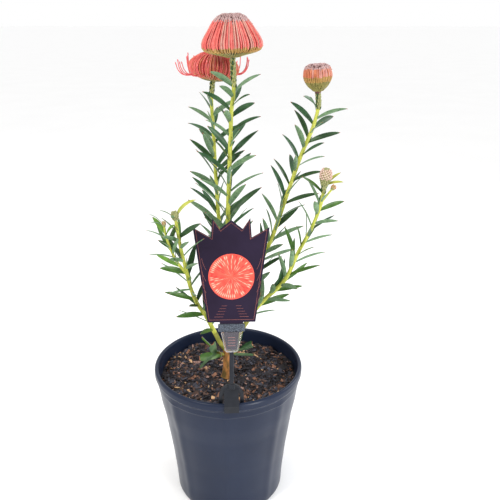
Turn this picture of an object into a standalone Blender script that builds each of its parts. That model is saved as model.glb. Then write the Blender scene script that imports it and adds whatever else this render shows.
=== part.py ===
# Potted pincushion shrub in its nursery pot, with a clip-on label.
# Metres, +Z up. The origin is the centre of the pot's flat underside, and the label faces -Y.

import math
import random

import bmesh
import bpy
from mathutils import Euler, Matrix, Vector

MM = 0.001
CLEAR = 0.3  # gap kept between neighbouring solids, in millimetres

# Pot, in millimetres
POT_HEIGHT = 200.0
RIM_RADIUS = 102.5
RIM_INNER_RADIUS = 96.5
RIM_DEPTH = 11.0
WALL = 2.2
FLOOR_THICKNESS = 3.0
BASE_RADIUS = 76.6
BASE_ROUNDING = 5.0
COLLAR_Z = 178.0
BODY_OUTLINE = ((78.2, 30.0), (82.3, 70.0), (86.4, 100.0), (90.2, 128.0), (95.0, 152.0), (98.4, 177.0))
POT_STEPS = 48
RIB_ANGLES = (45, 90, 135, 225, 270, 315)
RIB_HEIGHT = 1.7
RIB_HALF_WIDTH = 5.0
DRAIN_HOLES = 6
DRAIN_RADIUS = 5.0
DRAIN_RING_RADIUS = 58.0

# Potting mix, in millimetres
MIX_LEVEL = 180.0
MIX_BUMP = 2.6
MIX_FLAT_RADIUS = 14.0
MIX_RINGS = (14.0, 34.0, 54.0, 74.0)

# Trunk and stems, in millimetres: way points and radii at the two ends
TRUNK_FOOT = (-2.0, -6.0)
TRUNK_TOP = (-2.0, -8.0, 250.0)
TRUNK_RADIUS = 5.6
TRUNK_TOP_RADIUS = 4.6
FLARE = 2.6
FLARE_HEIGHT = 6.0

STEMS = {
    "centre": {
        "points": ((-2, -8, 250.3), (-1, -6, 298), (1, -2, 368), (3, 0, 435),
                   (6, 0, 499), (8, 0, 544), (11, 0, 570), (10, 0, 608)),
        "radii": (3.4, 2.2), "bare": 34.0},
    "back": {
        "points": ((-2, -7, 243), (-5, 5, 256), (-7, 16, 303), (-10, 26, 379), (-14, 34, 452),
                   (-16, 40, 503), (-18, 44, 543), (-18, 45, 559), (-16, 46, 579)),
        "radii": (3.0, 2.1), "bare": 62.0},
    "right": {
        "points": ((-2, -7, 234), (7, 0, 252), (22, 6, 292), (42, 12, 341), (59, 16, 378),
                   (78, 22, 435), (95, 27, 485), (109, 30, 520), (115, 31, 545), (114, 31, 565)),
        "radii": (3.2, 2.2), "bare": 70.0},
    "far_right": {
        "points": ((-2, -8, 221), (11, -12, 243), (41, -14, 293), (74, -20, 332), (91, -24, 373),
                   (107, -28, 409), (116, -31, 438), (119, -32, 463)),
        "radii": (3.3, 1.9), "bare": 58.0},
    "left": {
        "points": ((-2, -7, 222), (-11, -14, 240), (-26, -26, 282), (-37, -34, 306), (-44, -44, 333),
                   (-48, -52, 361), (-52, -60, 391), (-54, -65, 411), (-56, -68, 432)),
        "radii": (3.2, 1.8), "bare": 40.0},
}

TWIGS = {
    "left_twig": {"stem": "left", "points": ((-48, -51, 356), (-58, -60, 376), (-64, -66, 395),
                                            (-68, -69, 412), (-69, -71, 425)), "radii": (1.9, 1.2)},
    "far_right_twig": {"stem": "far_right", "points": ((116, -31, 440), (122, -34, 450), (128, -36, 459)),
                       "radii": (1.4, 1.2)},
}

BASE_TUFTS = {
    "base_left": {"points": ((-2, -7, 214), (-10, -13, 221), (-17, -18, 226)), "radii": (2.0, 1.4)},
    "base_right": {"points": ((-2, -7, 209), (8, -4, 216), (17, -1, 221)), "radii": (2.0, 1.4)},
}

# Leaf rules: arc lengths in millimetres along the stem, angles in degrees
GOLDEN_ANGLE = 137.508
LEAF_SAMPLES = 9
TURN_TRIES = 9
TURN_STEP = 17.0
LEAF_MARGIN = 0.9

LEAF_RULES = {
    "centre": {"stem": "centre", "start": 40, "stop_short": 26, "spacing": 5.9, "length": (48, 52, 34),
               "width": 7.4, "opening": (36, 44), "arch": (8, 30), "phase": 20, "seed": 11},
    "back": {"stem": "back", "start": 70, "stop_short": 15, "spacing": 6.3, "length": (46, 50, 34),
             "width": 7.2, "opening": (38, 46), "arch": (8, 26), "phase": 75, "seed": 23},
    "right": {"stem": "right", "start": 78, "stop_short": 16, "spacing": 6.4, "length": (46, 48, 40),
              "width": 7.0, "opening": (32, 46), "arch": (4, 34), "phase": 140, "seed": 31},
    "far_right": {"stem": "far_right", "start": 62, "stop_short": 8, "spacing": 6.0, "length": (40, 44, 34),
                  "width": 6.6, "opening": (36, 40), "arch": (6, 24), "phase": 200, "seed": 43},
    "left": {"stem": "left", "start": 46, "stop_short": 5, "spacing": 5.8, "length": (42, 44, 28),
             "width": 7.0, "opening": (44, 42), "arch": (6, 22), "phase": 250, "seed": 57},
    "left_twig": {"stem": "left_twig", "start": 14, "stop_short": 1, "spacing": 5.2, "length": (34, 34, 22),
                  "width": 5.6, "opening": (40, 30), "arch": (10, 30), "phase": 160, "seed": 61},
    "base_left": {"stem": "base_left", "start": 8, "stop_short": 0, "spacing": 3.0, "length": (34, 34, 30),
                  "width": 12.0, "opening": (50, 30), "arch": (10, 20), "phase": 190, "seed": 71},
    "base_right": {"stem": "base_right", "start": 9, "stop_short": 0, "spacing": 4.0, "length": (30, 30, 26),
                   "width": 10.0, "opening": (45, 30), "arch": (10, 16), "phase": 30, "seed": 83},
}

# Leaf outline: share of the length, share of the width
LEAF_STATIONS = ((0.0, 0.36), (0.36, 0.84), (0.8, 1.0))
LEAF_THICKNESS = 0.13  # of the width

# Flower heads, in millimetres: radius and height above the head's base
BELL_OUTLINE = ((3.2, -2.0), (13.0, 1.5), (30.0, 5.5), (34.8, 10.5), (33.5, 17.5), (28.5, 26.0),
                (22.5, 35.0), (16.0, 42.0), (8.0, 45.6))
DOME_OUTLINE = ((3.0, -3.0), (14.0, -1.0), (26.0, 4.0), (31.0, 11.0), (29.0, 19.0), (20.0, 26.5), (9.0, 30.0))
GLOBE_OUTLINE = ((3.0, -3.0), (6.5, 2.0), (13.0, 8.0), (16.8, 16.0), (17.0, 22.0), (14.5, 28.5), (8.0, 32.0))
EGG_OUTLINE = ((2.4, -3.0), (4.6, 3.0), (6.9, 10.0), (6.4, 16.0), (3.6, 20.5))

HEADS = {
    "centre": {"outline": BELL_OUTLINE, "steps": 24, "reach": 36.0, "middle": 18.0},
    "back": {"outline": DOME_OUTLINE, "steps": 20, "reach": 33.0, "middle": 13.0},
    "right": {"outline": GLOBE_OUTLINE, "steps": 18, "reach": 19.0, "middle": 17.0},
    "far_right": {"outline": EGG_OUTLINE, "steps": 12, "reach": 9.0, "middle": 10.0},
    "left": {"outline": ((1.6, -2.0), (3.4, 1.0), (4.2, 5.0), (2.6, 9.5)), "steps": 10, "reach": 6.0,
             "middle": 5.0},
    "left_twig": {"outline": ((1.0, -1.5), (1.9, 1.0), (2.2, 3.0), (1.2, 5.5)), "steps": 8, "reach": 3.5,
                  "middle": 2.5},
    "far_right_twig": {"outline": ((1.2, -1.0), (2.4, 1.0), (2.8, 3.2), (1.4, 5.6)), "steps": 8, "reach": 4.0,
                       "middle": 3.0},
}

PIN_COUNT = 26
PIN_ROOT_RADIUS = 24.0
PIN_REACH = 45.0
PIN_TIP_HEIGHT = 23.0
PIN_RADIUS = 0.75

# Label, in millimetres along its own width and height, from the rim's top
LABEL_YAW = 4.2
LABEL_LEAN = 15.0
LABEL_ROLL = 1.2
CARD_THICKNESS = 0.8
CARD_HALF_OUTLINE = ((14.5, 103.3), (14.5, 105.3), (29.4, 105.3), (46.4, 221.5), (24.8, 209.3),
                     (23.0, 232.8), (13.9, 219.6), (0.0, 230.4))
BAND_SIZE = (33.0, 4.6, 9.4)
BAND_TOP = 103.0
HOLDER_TOP = 93.3
HOLDER_BOTTOM = 68.0
HOLDER_HALF_WIDTHS = (12.9, 8.4)
HOLDER_THICKNESS = 5.0
STAKE_SIZE = (5.4, 2.4)
STAKE_BOTTOM = 27.6
SOCKET_SIZE = (8.4, 4.4, 7.0)
ARCH_HALF_WIDTHS = (15.9, 11.1)
ARCH_TOPS = (25.7, 18.6)
ARCH_SHOULDER = 5.0
ARCH_FOOT = -9.0
ARCH_PLATE = (8.2, 10.6)
TONGUE_HALF_WIDTH = 9.2
TONGUE_THICKNESS = 1.6
TONGUE_PATH = ((9.4, 21.0), (5.2, 9.0), (0.6, 2.6), (-1.3, -1.0), (-1.3, -10.5))


def clear_scene():
    for obj in list(bpy.data.objects):
        bpy.data.objects.remove(obj, do_unlink=True)


def make_collection(name):
    collection = bpy.data.collections.new(name)
    bpy.context.scene.collection.children.link(collection)
    return collection


clear_scene()
PARTS = make_collection("potted_pincushion_shrub")
CUTTERS = make_collection("cutters")


def material(name, colour, roughness, metallic=0.0, transmission=0.0):
    mat = bpy.data.materials.new(name)
    mat.use_nodes = True
    shader = mat.node_tree.nodes["Principled BSDF"]
    shader.inputs["Base Color"].default_value = (*colour, 1.0)
    shader.inputs["Roughness"].default_value = roughness
    shader.inputs["Metallic"].default_value = metallic
    shader.inputs["Transmission Weight"].default_value = transmission
    return mat


MATERIALS = {
    "pot_plastic": material("pot_plastic", (0.020, 0.030, 0.052), 0.38),
    "bark_mix": material("bark_mix", (0.035, 0.024, 0.020), 0.9),
    "bark": material("bark", (0.42, 0.24, 0.10), 0.8),
    "green_stem": material("green_stem", (0.45, 0.47, 0.10), 0.6),
    "foliage": material("foliage", (0.07, 0.18, 0.08), 0.55),
    "label_print": material("label_print", (0.022, 0.012, 0.035), 0.4),
    "foam_band": material("foam_band", (0.16, 0.18, 0.21), 0.8),
    "clear_plastic": material("clear_plastic", (0.75, 0.74, 0.80), 0.12, 0.0, 0.8),
    "black_plastic": material("black_plastic", (0.012, 0.014, 0.018), 0.35),
}


# Basic makers

def link_part(name, mesh, slot, collection=PARTS):
    obj = bpy.data.objects.new(name, mesh)
    obj.name = name
    mesh.name = name
    mesh.materials.clear()
    mesh.materials.append(MATERIALS[slot])
    collection.objects.link(obj)
    return obj


def apply_modifiers(obj):
    """Freeze the object's modifiers into its mesh."""
    bpy.context.view_layer.update()
    evaluated = obj.evaluated_get(bpy.context.evaluated_depsgraph_get())
    mesh = bpy.data.meshes.new_from_object(evaluated)
    obj.modifiers.clear()
    obj.data = mesh
    return obj


def curve_to_mesh(curve_obj, name, slot):
    """Turn a curve into a closed mesh object, with its caps welded on."""
    bpy.context.view_layer.update()
    evaluated = curve_obj.evaluated_get(bpy.context.evaluated_depsgraph_get())
    mesh = bpy.data.meshes.new_from_object(evaluated)
    shape = bmesh.new()
    shape.from_mesh(mesh)
    bmesh.ops.remove_doubles(shape, verts=shape.verts, dist=1e-6)
    bmesh.ops.recalc_face_normals(shape, faces=shape.faces)
    shape.to_mesh(mesh)
    shape.free()
    obj = link_part(name, mesh, slot)
    obj.matrix_world = curve_obj.matrix_world.copy()
    bpy.data.objects.remove(curve_obj, do_unlink=True)
    return obj


def tube(name, points, radii, slot, resolution):
    """A tapering tube through points in millimetres, with flat ends square to its path."""
    curve = bpy.data.curves.new(name, "CURVE")
    curve.dimensions = "3D"
    curve.bevel_depth = MM
    curve.bevel_resolution = resolution
    curve.use_fill_caps = True
    spline = curve.splines.new("POLY")
    spline.points.add(len(points) - 1)
    for point, place, radius in zip(spline.points, points, radii):
        point.co = (place[0] * MM, place[1] * MM, place[2] * MM, 1.0)
        point.radius = radius
    obj = bpy.data.objects.new(name + "_path", curve)
    PARTS.objects.link(obj)
    return curve_to_mesh(obj, name, slot)


def plate(name, outline, low, high, slot, matrix):
    """A flat outline in X and Z, in millimetres, given thickness from low to high along Y."""
    curve = bpy.data.curves.new(name, "CURVE")
    curve.dimensions = "2D"
    curve.fill_mode = "BOTH"
    curve.extrude = (high - low) / 2 * MM
    spline = curve.splines.new("POLY")
    spline.points.add(len(outline) - 1)
    for point, (across, up) in zip(spline.points, outline):
        point.co = (across * MM, up * MM, 0.0, 1.0)
    spline.use_cyclic_u = True
    obj = bpy.data.objects.new(name + "_outline", curve)
    PARTS.objects.link(obj)
    upright = Matrix.Translation((0.0, (low + high) / 2 * MM, 0.0)) @ Euler((math.pi / 2, 0, 0)).to_matrix().to_4x4()
    obj.matrix_world = matrix @ upright
    return curve_to_mesh(obj, name, slot)


def block(name, size, centre, slot, matrix, bevel):
    """A box with rounded edges, sizes in millimetres."""
    shape = bmesh.new()
    bmesh.ops.create_cube(shape, size=1.0)
    bmesh.ops.scale(shape, vec=Vector(size) * MM, verts=shape.verts)
    mesh = bpy.data.meshes.new(name)
    shape.to_mesh(mesh)
    shape.free()
    obj = link_part(name, mesh, slot)
    obj.matrix_world = matrix @ Matrix.Translation(Vector(centre) * MM)
    if bevel > 0:
        rounding = obj.modifiers.new("rounding", "BEVEL")
        rounding.width = bevel * MM
        rounding.segments = 2
        apply_modifiers(obj)
    return obj


def turned(name, profile, steps, slot):
    """A turned solid: the profile, radius and height in millimetres, runs down its outer side."""
    mesh = bpy.data.meshes.new(name)
    verts = [(radius * MM, 0.0, height * MM) for radius, height in profile]
    edges = [(i, i + 1) for i in range(len(profile) - 1)]
    mesh.from_pydata(verts, edges, [])
    obj = link_part(name, mesh, slot)
    screw = obj.modifiers.new("turn", "SCREW")
    screw.angle = math.tau
    screw.steps = steps
    screw.render_steps = steps
    screw.use_merge_vertices = True
    screw.merge_threshold = 1e-5
    apply_modifiers(obj)
    shape = bmesh.new()
    shape.from_mesh(obj.data)
    bmesh.ops.remove_doubles(shape, verts=shape.verts, dist=1e-6)
    shape.to_mesh(obj.data)
    shape.free()
    return obj


def fuse(target, pieces, solver="EXACT"):
    """Join the pieces to the target by one union on a collection, and remove them."""
    group = make_collection(target.name + "_pieces")
    for piece in pieces:
        PARTS.objects.unlink(piece)
        group.objects.link(piece)
    joint = target.modifiers.new("join", "BOOLEAN")
    joint.operation = "UNION"
    joint.operand_type = "COLLECTION"
    joint.collection = group
    joint.solver = solver
    apply_modifiers(target)
    for piece in pieces:
        bpy.data.objects.remove(piece, do_unlink=True)
    bpy.data.collections.remove(group)
    return target


def subtract(target, cutters):
    """Cut the cutters out of the target, and remove them."""
    for cutter in cutters:
        PARTS.objects.unlink(cutter)
        CUTTERS.objects.link(cutter)
        cutter.hide_render = True
        cutter.display_type = "WIRE"
        cut = target.modifiers.new("cut", "BOOLEAN")
        cut.operation = "DIFFERENCE"
        cut.object = cutter
        cut.solver = "EXACT"
    apply_modifiers(target)
    for cutter in cutters:
        bpy.data.objects.remove(cutter, do_unlink=True)
    return target


# Paths

def curve_through(points, step):
    """Points about one step apart on a smooth curve through the way points."""
    way = [Vector(point) for point in points]
    ends = [2 * way[0] - way[1]] + way + [2 * way[-1] - way[-2]]
    dense = []
    for a, b, c, d in zip(ends, ends[1:], ends[2:], ends[3:]):
        count = max(2, int((c - b).length / step * 4))
        for i in range(count):
            t = i / count
            dense.append(0.5 * (2 * b + (c - a) * t + (2 * a - 5 * b + 4 * c - d) * t * t
                                + (3 * b - 3 * c + d - a) * t * t * t))
    dense.append(way[-1])
    return dense


class Path:
    """A smooth path, read by arc length in millimetres."""

    def __init__(self, points, step=3.0):
        self.dense = curve_through(points, step)
        self.marks = [0.0]
        for a, b in zip(self.dense, self.dense[1:]):
            self.marks.append(self.marks[-1] + (b - a).length)
        self.length = self.marks[-1]

    def at(self, arc):
        arc = min(max(arc, 0.0), self.length)
        for i in range(len(self.marks) - 1):
            if arc <= self.marks[i + 1]:
                span = self.marks[i + 1] - self.marks[i]
                share = (arc - self.marks[i]) / span if span else 0.0
                return self.dense[i].lerp(self.dense[i + 1], share)
        return self.dense[-1].copy()

    def along(self, arc):
        return (self.at(arc + 1.5) - self.at(arc - 1.5)).normalized()

    def between(self, start, end, step):
        count = max(2, round((end - start) / step))
        return [start + (end - start) * i / count for i in range(count + 1)]


def mix(a, b, share):
    return a + (b - a) * share


def radius_at(spec, path, arc):
    return mix(spec["radii"][0], spec["radii"][1], arc / path.length)


ALL_STEMS = {**STEMS, **TWIGS, **BASE_TUFTS}
PATHS = {name: Path(spec["points"]) for name, spec in ALL_STEMS.items()}


# Pot and potting mix

def outer_profile():
    """The pot's outer side from the rim's top middle down to the centre of the underside."""
    lip_middle = (RIM_RADIUS + RIM_INNER_RADIUS) / 2
    lip = [(lip_middle, POT_HEIGHT), (RIM_RADIUS - 1.0, POT_HEIGHT - 0.8), (RIM_RADIUS, POT_HEIGHT - 3.0),
           (RIM_RADIUS, POT_HEIGHT - RIM_DEPTH + 1.5), (RIM_RADIUS - 1.4, POT_HEIGHT - RIM_DEPTH),
           (99.4, COLLAR_Z + 8.0), (99.2, COLLAR_Z)]
    side = list(reversed(BODY_OUTLINE))
    corner = []
    for i in range(4):
        angle = math.pi / 2 * i / 3
        corner.append((BASE_RADIUS - BASE_ROUNDING * (1 - math.cos(angle)),
                       BASE_ROUNDING * (1 - math.sin(angle))))
    return lip + side + corner + [(0.0, 0.0)]


def inner_profile():
    """The pot's inner side from the centre of the floor up to the rim's inner edge."""
    levels = [(BASE_RADIUS + 0.4 - WALL, FLOOR_THICKNESS + 3.0)]
    levels += [(radius - WALL, height) for radius, height in BODY_OUTLINE[:-1]]
    floor_edge = (BASE_RADIUS - WALL - 2.5, FLOOR_THICKNESS)
    top = [(RIM_INNER_RADIUS - 1.1, MIX_LEVEL), (RIM_INNER_RADIUS - 0.4, POT_HEIGHT - 12.0),
           (RIM_INNER_RADIUS, POT_HEIGHT - 3.0),
           (RIM_INNER_RADIUS + 0.9, POT_HEIGHT - 0.8)]
    return [(0.0, FLOOR_THICKNESS), floor_edge] + levels + top


def profile_radius(profile, height):
    """The profile's radius at a height, read in straight stretches."""
    for (r0, z0), (r1, z1) in zip(profile, profile[1:]):
        if min(z0, z1) <= height <= max(z0, z1) and z0 != z1:
            return mix(r0, r1, (height - z0) / (z1 - z0))
    return profile[-1][0]


def rib(angle, height):
    """How far the moulded ribs stand out at an angle and height, in millimetres."""
    fade = min(1.0, max(0.0, (POT_HEIGHT - RIM_DEPTH - 4.0 - height) / 10.0))
    fade *= min(1.0, max(0.0, height / 12.0))
    strength = fade * mix(0.55, 1.0, height / POT_HEIGHT)
    degrees = math.degrees(angle) % 360
    total = 0.0
    for centre in RIB_ANGLES:
        away = abs((degrees - centre + 180) % 360 - 180)
        total += math.exp(-((away / RIB_HALF_WIDTH) ** 2))
    return RIB_HEIGHT * strength * total


def push_ribs(obj):
    for vert in obj.data.vertices:
        radius = math.hypot(vert.co.x, vert.co.y)
        if radius > 60 * MM:
            angle = math.atan2(vert.co.y, vert.co.x)
            grown = (radius + rib(angle, vert.co.z / MM) * MM) / radius
            vert.co.x *= grown
            vert.co.y *= grown


def make_pot():
    pot = turned("pot", inner_profile() + outer_profile(), POT_STEPS, "pot_plastic")
    push_ribs(pot)
    drills = []
    for i in range(DRAIN_HOLES):
        angle = math.tau * (i + 0.5) / DRAIN_HOLES
        shape = bmesh.new()
        bmesh.ops.create_cone(shape, cap_ends=True, segments=12, radius1=DRAIN_RADIUS * MM,
                              radius2=DRAIN_RADIUS * MM, depth=4 * FLOOR_THICKNESS * MM)
        mesh = bpy.data.meshes.new("drain")
        shape.to_mesh(mesh)
        shape.free()
        drill = link_part("drain_%d" % i, mesh, "pot_plastic")
        drill.location = (DRAIN_RING_RADIUS * MM * math.cos(angle), DRAIN_RING_RADIUS * MM * math.sin(angle), 0)
        drills.append(drill)
    subtract(pot, drills)


def mix_bump(x, y):
    """The uneven top of the potting mix, flat under the trunk's foot."""
    from_trunk = math.hypot(x - TRUNK_FOOT[0], y - TRUNK_FOOT[1])
    rough = math.sin(x * 0.11 + 1.3) * math.cos(y * 0.09 - 0.4) + 0.5 * math.sin(x * 0.21 - y * 0.17)
    share = min(1.0, max(0.0, (from_trunk - MIX_FLAT_RADIUS) / 12.0))
    return MIX_BUMP * rough * share


def make_potting_mix():
    inner = inner_profile()
    heights = [FLOOR_THICKNESS + CLEAR, FLOOR_THICKNESS + 3.0] + [h for _, h in BODY_OUTLINE[:-1]]
    side = [(profile_radius(inner, height) - CLEAR * 1.5, height) for height in heights]
    top_radius = profile_radius(inner, MIX_LEVEL) - CLEAR * 1.5
    top = [(0.0, MIX_LEVEL)] + [(ring, MIX_LEVEL) for ring in MIX_RINGS] + [(top_radius, MIX_LEVEL)]
    profile = top + list(reversed(side)) + [(0.0, FLOOR_THICKNESS + CLEAR)]
    body = turned("potting_mix", profile, POT_STEPS, "bark_mix")
    push_ribs(body)
    for vert in body.data.vertices:
        if vert.co.z > (MIX_LEVEL - 1) * MM and math.hypot(vert.co.x, vert.co.y) < (top_radius - 4) * MM:
            vert.co.z += mix_bump(vert.co.x / MM, vert.co.y / MM) * MM


# Trunk and boughs

def trunk_points():
    foot = MIX_LEVEL + CLEAR
    return ((*TRUNK_FOOT, foot), (*TRUNK_FOOT, foot + 5.0), (-1.6, -7.0, 212.0), TRUNK_TOP)


def make_trunk(name, grow):
    """The trunk, from its flared foot to the fork; grow makes it larger all round."""
    path = Path(trunk_points())
    arcs = [0.0, 2.5, 6.0, 12.0, 22.0, 36.0, 52.0, path.length]
    points = [path.at(arc) for arc in arcs]
    points[0] = Vector(trunk_points()[0])
    points[1] = points[0] + Vector((0, 0, arcs[1]))
    radii = []
    for arc in arcs:
        taper = mix(TRUNK_RADIUS, TRUNK_TOP_RADIUS, arc / path.length)
        radii.append(taper + FLARE * math.exp(-arc / FLARE_HEIGHT) + grow)
    if grow:
        points[-1] = points[-1] + Vector((0, 0, grow))
    return tube(name, points, radii, "bark", 4)


def make_boughs():
    for name, spec in STEMS.items():
        path = PATHS[name]
        arcs = path.between(0.0, spec["bare"], 7.0)
        points = [path.at(arc) for arc in arcs]
        radii = [radius_at(spec, path, arc) for arc in arcs]
        bough = tube("bough_" + name, points, radii, "green_stem", 3)
        if name != "centre":
            subtract(bough, [make_trunk("trunk_cutter", CLEAR)])


# Leaves by a seeded rule

def stem_frame(path, arc):
    """Two directions across the stem, and the stem's own, at an arc length."""
    along = path.along(arc)
    across = (Vector((1, 0, 0)) - along * along.x).normalized()
    return across, along.cross(across), along


def leaf_centre_line(path, arc, turn, length, opening, arch):
    """The leaf's middle line from the stem's axis, and its sideways direction."""
    across, ahead, along = stem_frame(path, arc)
    outward = across * math.cos(turn) + ahead * math.sin(turn)
    place = path.at(arc)
    points = [place.copy()]
    for i in range(LEAF_SAMPLES - 1):
        share = (i + 0.5) / (LEAF_SAMPLES - 1)
        angle = math.radians(opening + arch * share)
        place = place + (along * math.cos(angle) + outward * math.sin(angle)) * length / (LEAF_SAMPLES - 1)
        points.append(place.copy())
    return points, along.cross(outward).normalized()


def label_matrix(lean=LABEL_LEAN, roll=LABEL_ROLL):
    """The label's frame at the rim's top: X along the rim, Z up the stake, -Y out of the pot."""
    yaw = math.radians(LABEL_YAW)
    place = Vector((RIM_RADIUS * math.sin(yaw), -RIM_RADIUS * math.cos(yaw), POT_HEIGHT)) * MM
    turn = Euler((math.radians(-lean), math.radians(roll), yaw)).to_matrix().to_4x4()
    return Matrix.Translation(place) @ turn


LABEL_INVERSE = label_matrix().inverted()


def near_label(point, margin):
    """Whether a point in millimetres is within a margin of the label's pieces."""
    across, out, up = (LABEL_INVERSE @ (point * MM)) / MM
    if up > HOLDER_TOP:
        half = mix(30.0, 47.0, (up - HOLDER_TOP) / 120.0)
        return up < 234.0 + margin and abs(across) < half + margin and abs(out) < margin + 2.6
    return abs(across) < 17.0 + margin and abs(out) < margin + 10.0


def near_pot(point, margin):
    """Whether a point in millimetres is within a margin of the pot or the mix."""
    radius = math.hypot(point.x, point.y)
    if point.z < MIX_LEVEL + 4.0 + margin and radius < RIM_INNER_RADIUS + margin:
        return True
    return point.z < POT_HEIGHT + margin and radius > RIM_INNER_RADIUS - 2.0 - margin


class Space:
    """The places that stems, heads and placed leaves already fill."""

    def __init__(self):
        self.balls = []

    def add(self, place, radius, owner):
        self.balls.append((place, radius, owner))

    def blocked(self, points, radii, owners):
        for point, radius in zip(points, radii):
            if near_label(point, radius) or near_pot(point, radius):
                return True
            for place, size, held_by in self.balls:
                if held_by not in owners:
                    away = point - place
                    reach = radius + size
                    if abs(away.x) < reach and abs(away.y) < reach and away.length < reach:
                        return True
        return False


def stem_owner(stem):
    return TWIGS[stem]["stem"] if stem in TWIGS else stem


def fill_space():
    """All stems and heads, entered before any leaf is placed."""
    space = Space()
    for name, spec in ALL_STEMS.items():
        path = PATHS[name]
        for arc in path.between(0.0, path.length, 3.0):
            space.add(path.at(arc), radius_at(spec, path, arc) + 1.0, stem_owner(name))
        if name in STEMS:
            for arc in path.between(0.0, spec["bare"], 3.0):
                space.add(path.at(arc), radius_at(spec, path, arc) + 1.0, "bough")
    trunk = Path(trunk_points())
    for arc in trunk.between(0.0, trunk.length, 3.0):
        space.add(trunk.at(arc), TRUNK_RADIUS + 1.2, "trunk")
    for name, head in HEADS.items():
        path = PATHS[name]
        place = path.at(path.length) + path.along(path.length) * head["middle"]
        space.add(place, head["reach"], "head_" + name)
    return space


def place_leaves(name, rule, space):
    """Leaves of one rule: each takes the first free turn round the stem, or is skipped."""
    rng = random.Random(rule["seed"])
    path = PATHS[rule["stem"]]
    owner = stem_owner(rule["stem"])
    stop = path.length - rule["stop_short"]
    count = int((stop - rule["start"]) / rule["spacing"]) + 1
    leaves = []
    for i in range(count):
        share = i / max(1, count - 1)
        arc = rule["start"] + i * rule["spacing"] + rng.uniform(-1.0, 1.0)
        low, middle, high = rule["length"]
        length = mix(low, middle, share * 2) if share < 0.5 else mix(middle, high, share * 2 - 1)
        length *= rng.uniform(0.88, 1.1)
        width = rule["width"] * rng.uniform(0.85, 1.1)
        opening = mix(*rule["opening"], share) + rng.uniform(-8, 8)
        arch = mix(*rule["arch"], share) + rng.uniform(-8, 8)
        roll = rng.uniform(-0.35, 0.35)
        turn = math.radians(rule["phase"] + i * GOLDEN_ANGLE + rng.uniform(-10, 10))
        for attempt in range(TURN_TRIES):
            swing = math.radians(TURN_STEP) * ((attempt + 1) // 2) * (-1 if attempt % 2 else 1)
            points, side = leaf_centre_line(path, arc, turn + swing, length, opening, arch)
            body = points[2:]
            radii = [width / 2 + LEAF_MARGIN] * len(body)
            if not space.blocked(body, radii, (owner,)):
                leaves.append({"points": points, "side": side, "width": width, "roll": roll})
                for point, radius in zip(body, radii):
                    space.add(point, radius, owner)
                break
    return leaves


def leaf_mesh(name, leaf, slot):
    """A blade with a three-sided section: root, middle, shoulder and tip."""
    points = leaf["points"]
    shape = bmesh.new()
    rings = []
    for share, spread in LEAF_STATIONS:
        position = share * (len(points) - 1)
        index = min(int(position), len(points) - 2)
        place = points[index].lerp(points[index + 1], position - index)
        ahead = (points[index + 1] - points[index]).normalized()
        side = Matrix.Rotation(leaf["roll"] * share, 3, ahead) @ leaf["side"]
        below = side.cross(ahead).normalized()
        half = leaf["width"] / 2 * spread
        depth = leaf["width"] * LEAF_THICKNESS
        ring = [place + side * half, place + below * depth, place - side * half]
        rings.append([shape.verts.new(corner * MM) for corner in ring])
    tip = shape.verts.new(points[-1] * MM)
    shape.faces.new(rings[0])
    for low, high in zip(rings, rings[1:]):
        for i in range(3):
            j = (i + 1) % 3
            shape.faces.new((low[j], low[i], high[i]))
            shape.faces.new((low[j], high[i], high[j]))
    for i in range(3):
        shape.faces.new((rings[-1][(i + 1) % 3], rings[-1][i], tip))
    bmesh.ops.recalc_face_normals(shape, faces=shape.faces)
    mesh = bpy.data.meshes.new(name)
    shape.to_mesh(mesh)
    shape.free()
    return link_part(name, mesh, slot)


# Flower heads

def head_profile(outline):
    """A smooth closed outline from the crown down to the foot of a head."""
    way = [(0.0, outline[-1][1] + 0.3)] + [point for point in reversed(outline)]
    curve = [(p.x, p.y) for p in curve_through([(r, z, 0.0) for r, z in way], 14.0)]
    kept = [curve[0]]
    for point in curve[1:-1]:
        if math.dist(point, kept[-1]) > 3.2 or len(outline) < 5:
            kept.append((max(point[0], 0.4), point[1]))
    kept[0] = (0.0, kept[0][1])
    return kept + [outline[0], (0.0, outline[0][1])]


def make_head(name):
    head = HEADS[name]
    path = PATHS[name]
    solid = turned("head_" + name, head_profile(head["outline"]), head["steps"], "foliage")
    up = path.along(path.length)
    solid.matrix_world = (Matrix.Translation(path.at(path.length) * MM)
                          @ Vector((0, 0, 1)).rotation_difference(up).to_matrix().to_4x4())
    return solid


def make_pins(name, space):
    """Freed styles that leave the open flower low down and curve out and up."""
    rng = random.Random(97)
    path = PATHS[name]
    base = path.at(path.length)
    pins = []
    for i in range(PIN_COUNT):
        turn = math.tau * i / PIN_COUNT + rng.uniform(-0.08, 0.08)
        out = Vector((math.cos(turn), math.sin(turn), 0))
        reach = PIN_REACH * rng.uniform(0.86, 1.03)
        tip = PIN_TIP_HEIGHT + rng.uniform(-6, 5)
        way = (base + out * PIN_ROOT_RADIUS + Vector((0, 0, 6)),
               base + out * mix(PIN_ROOT_RADIUS, reach, 0.55) + Vector((0, 0, 5)),
               base + out * mix(PIN_ROOT_RADIUS, reach, 0.9) + Vector((0, 0, 12)),
               base + out * reach + Vector((0, 0, tip)))
        pin_path = Path(way)
        arcs = pin_path.between(0.0, pin_path.length, 7.0)
        points = [pin_path.at(arc) for arc in arcs]
        if space.blocked(points[1:], [2.0] * (len(points) - 1), (name, "head_" + name)):
            continue
        for point in points[1:]:
            space.add(point, 2.0, name)
        pins.append(tube("pin_%d" % i, points, [PIN_RADIUS] * len(points), "foliage", 0))
    return pins


# Masses of foliage

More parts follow.
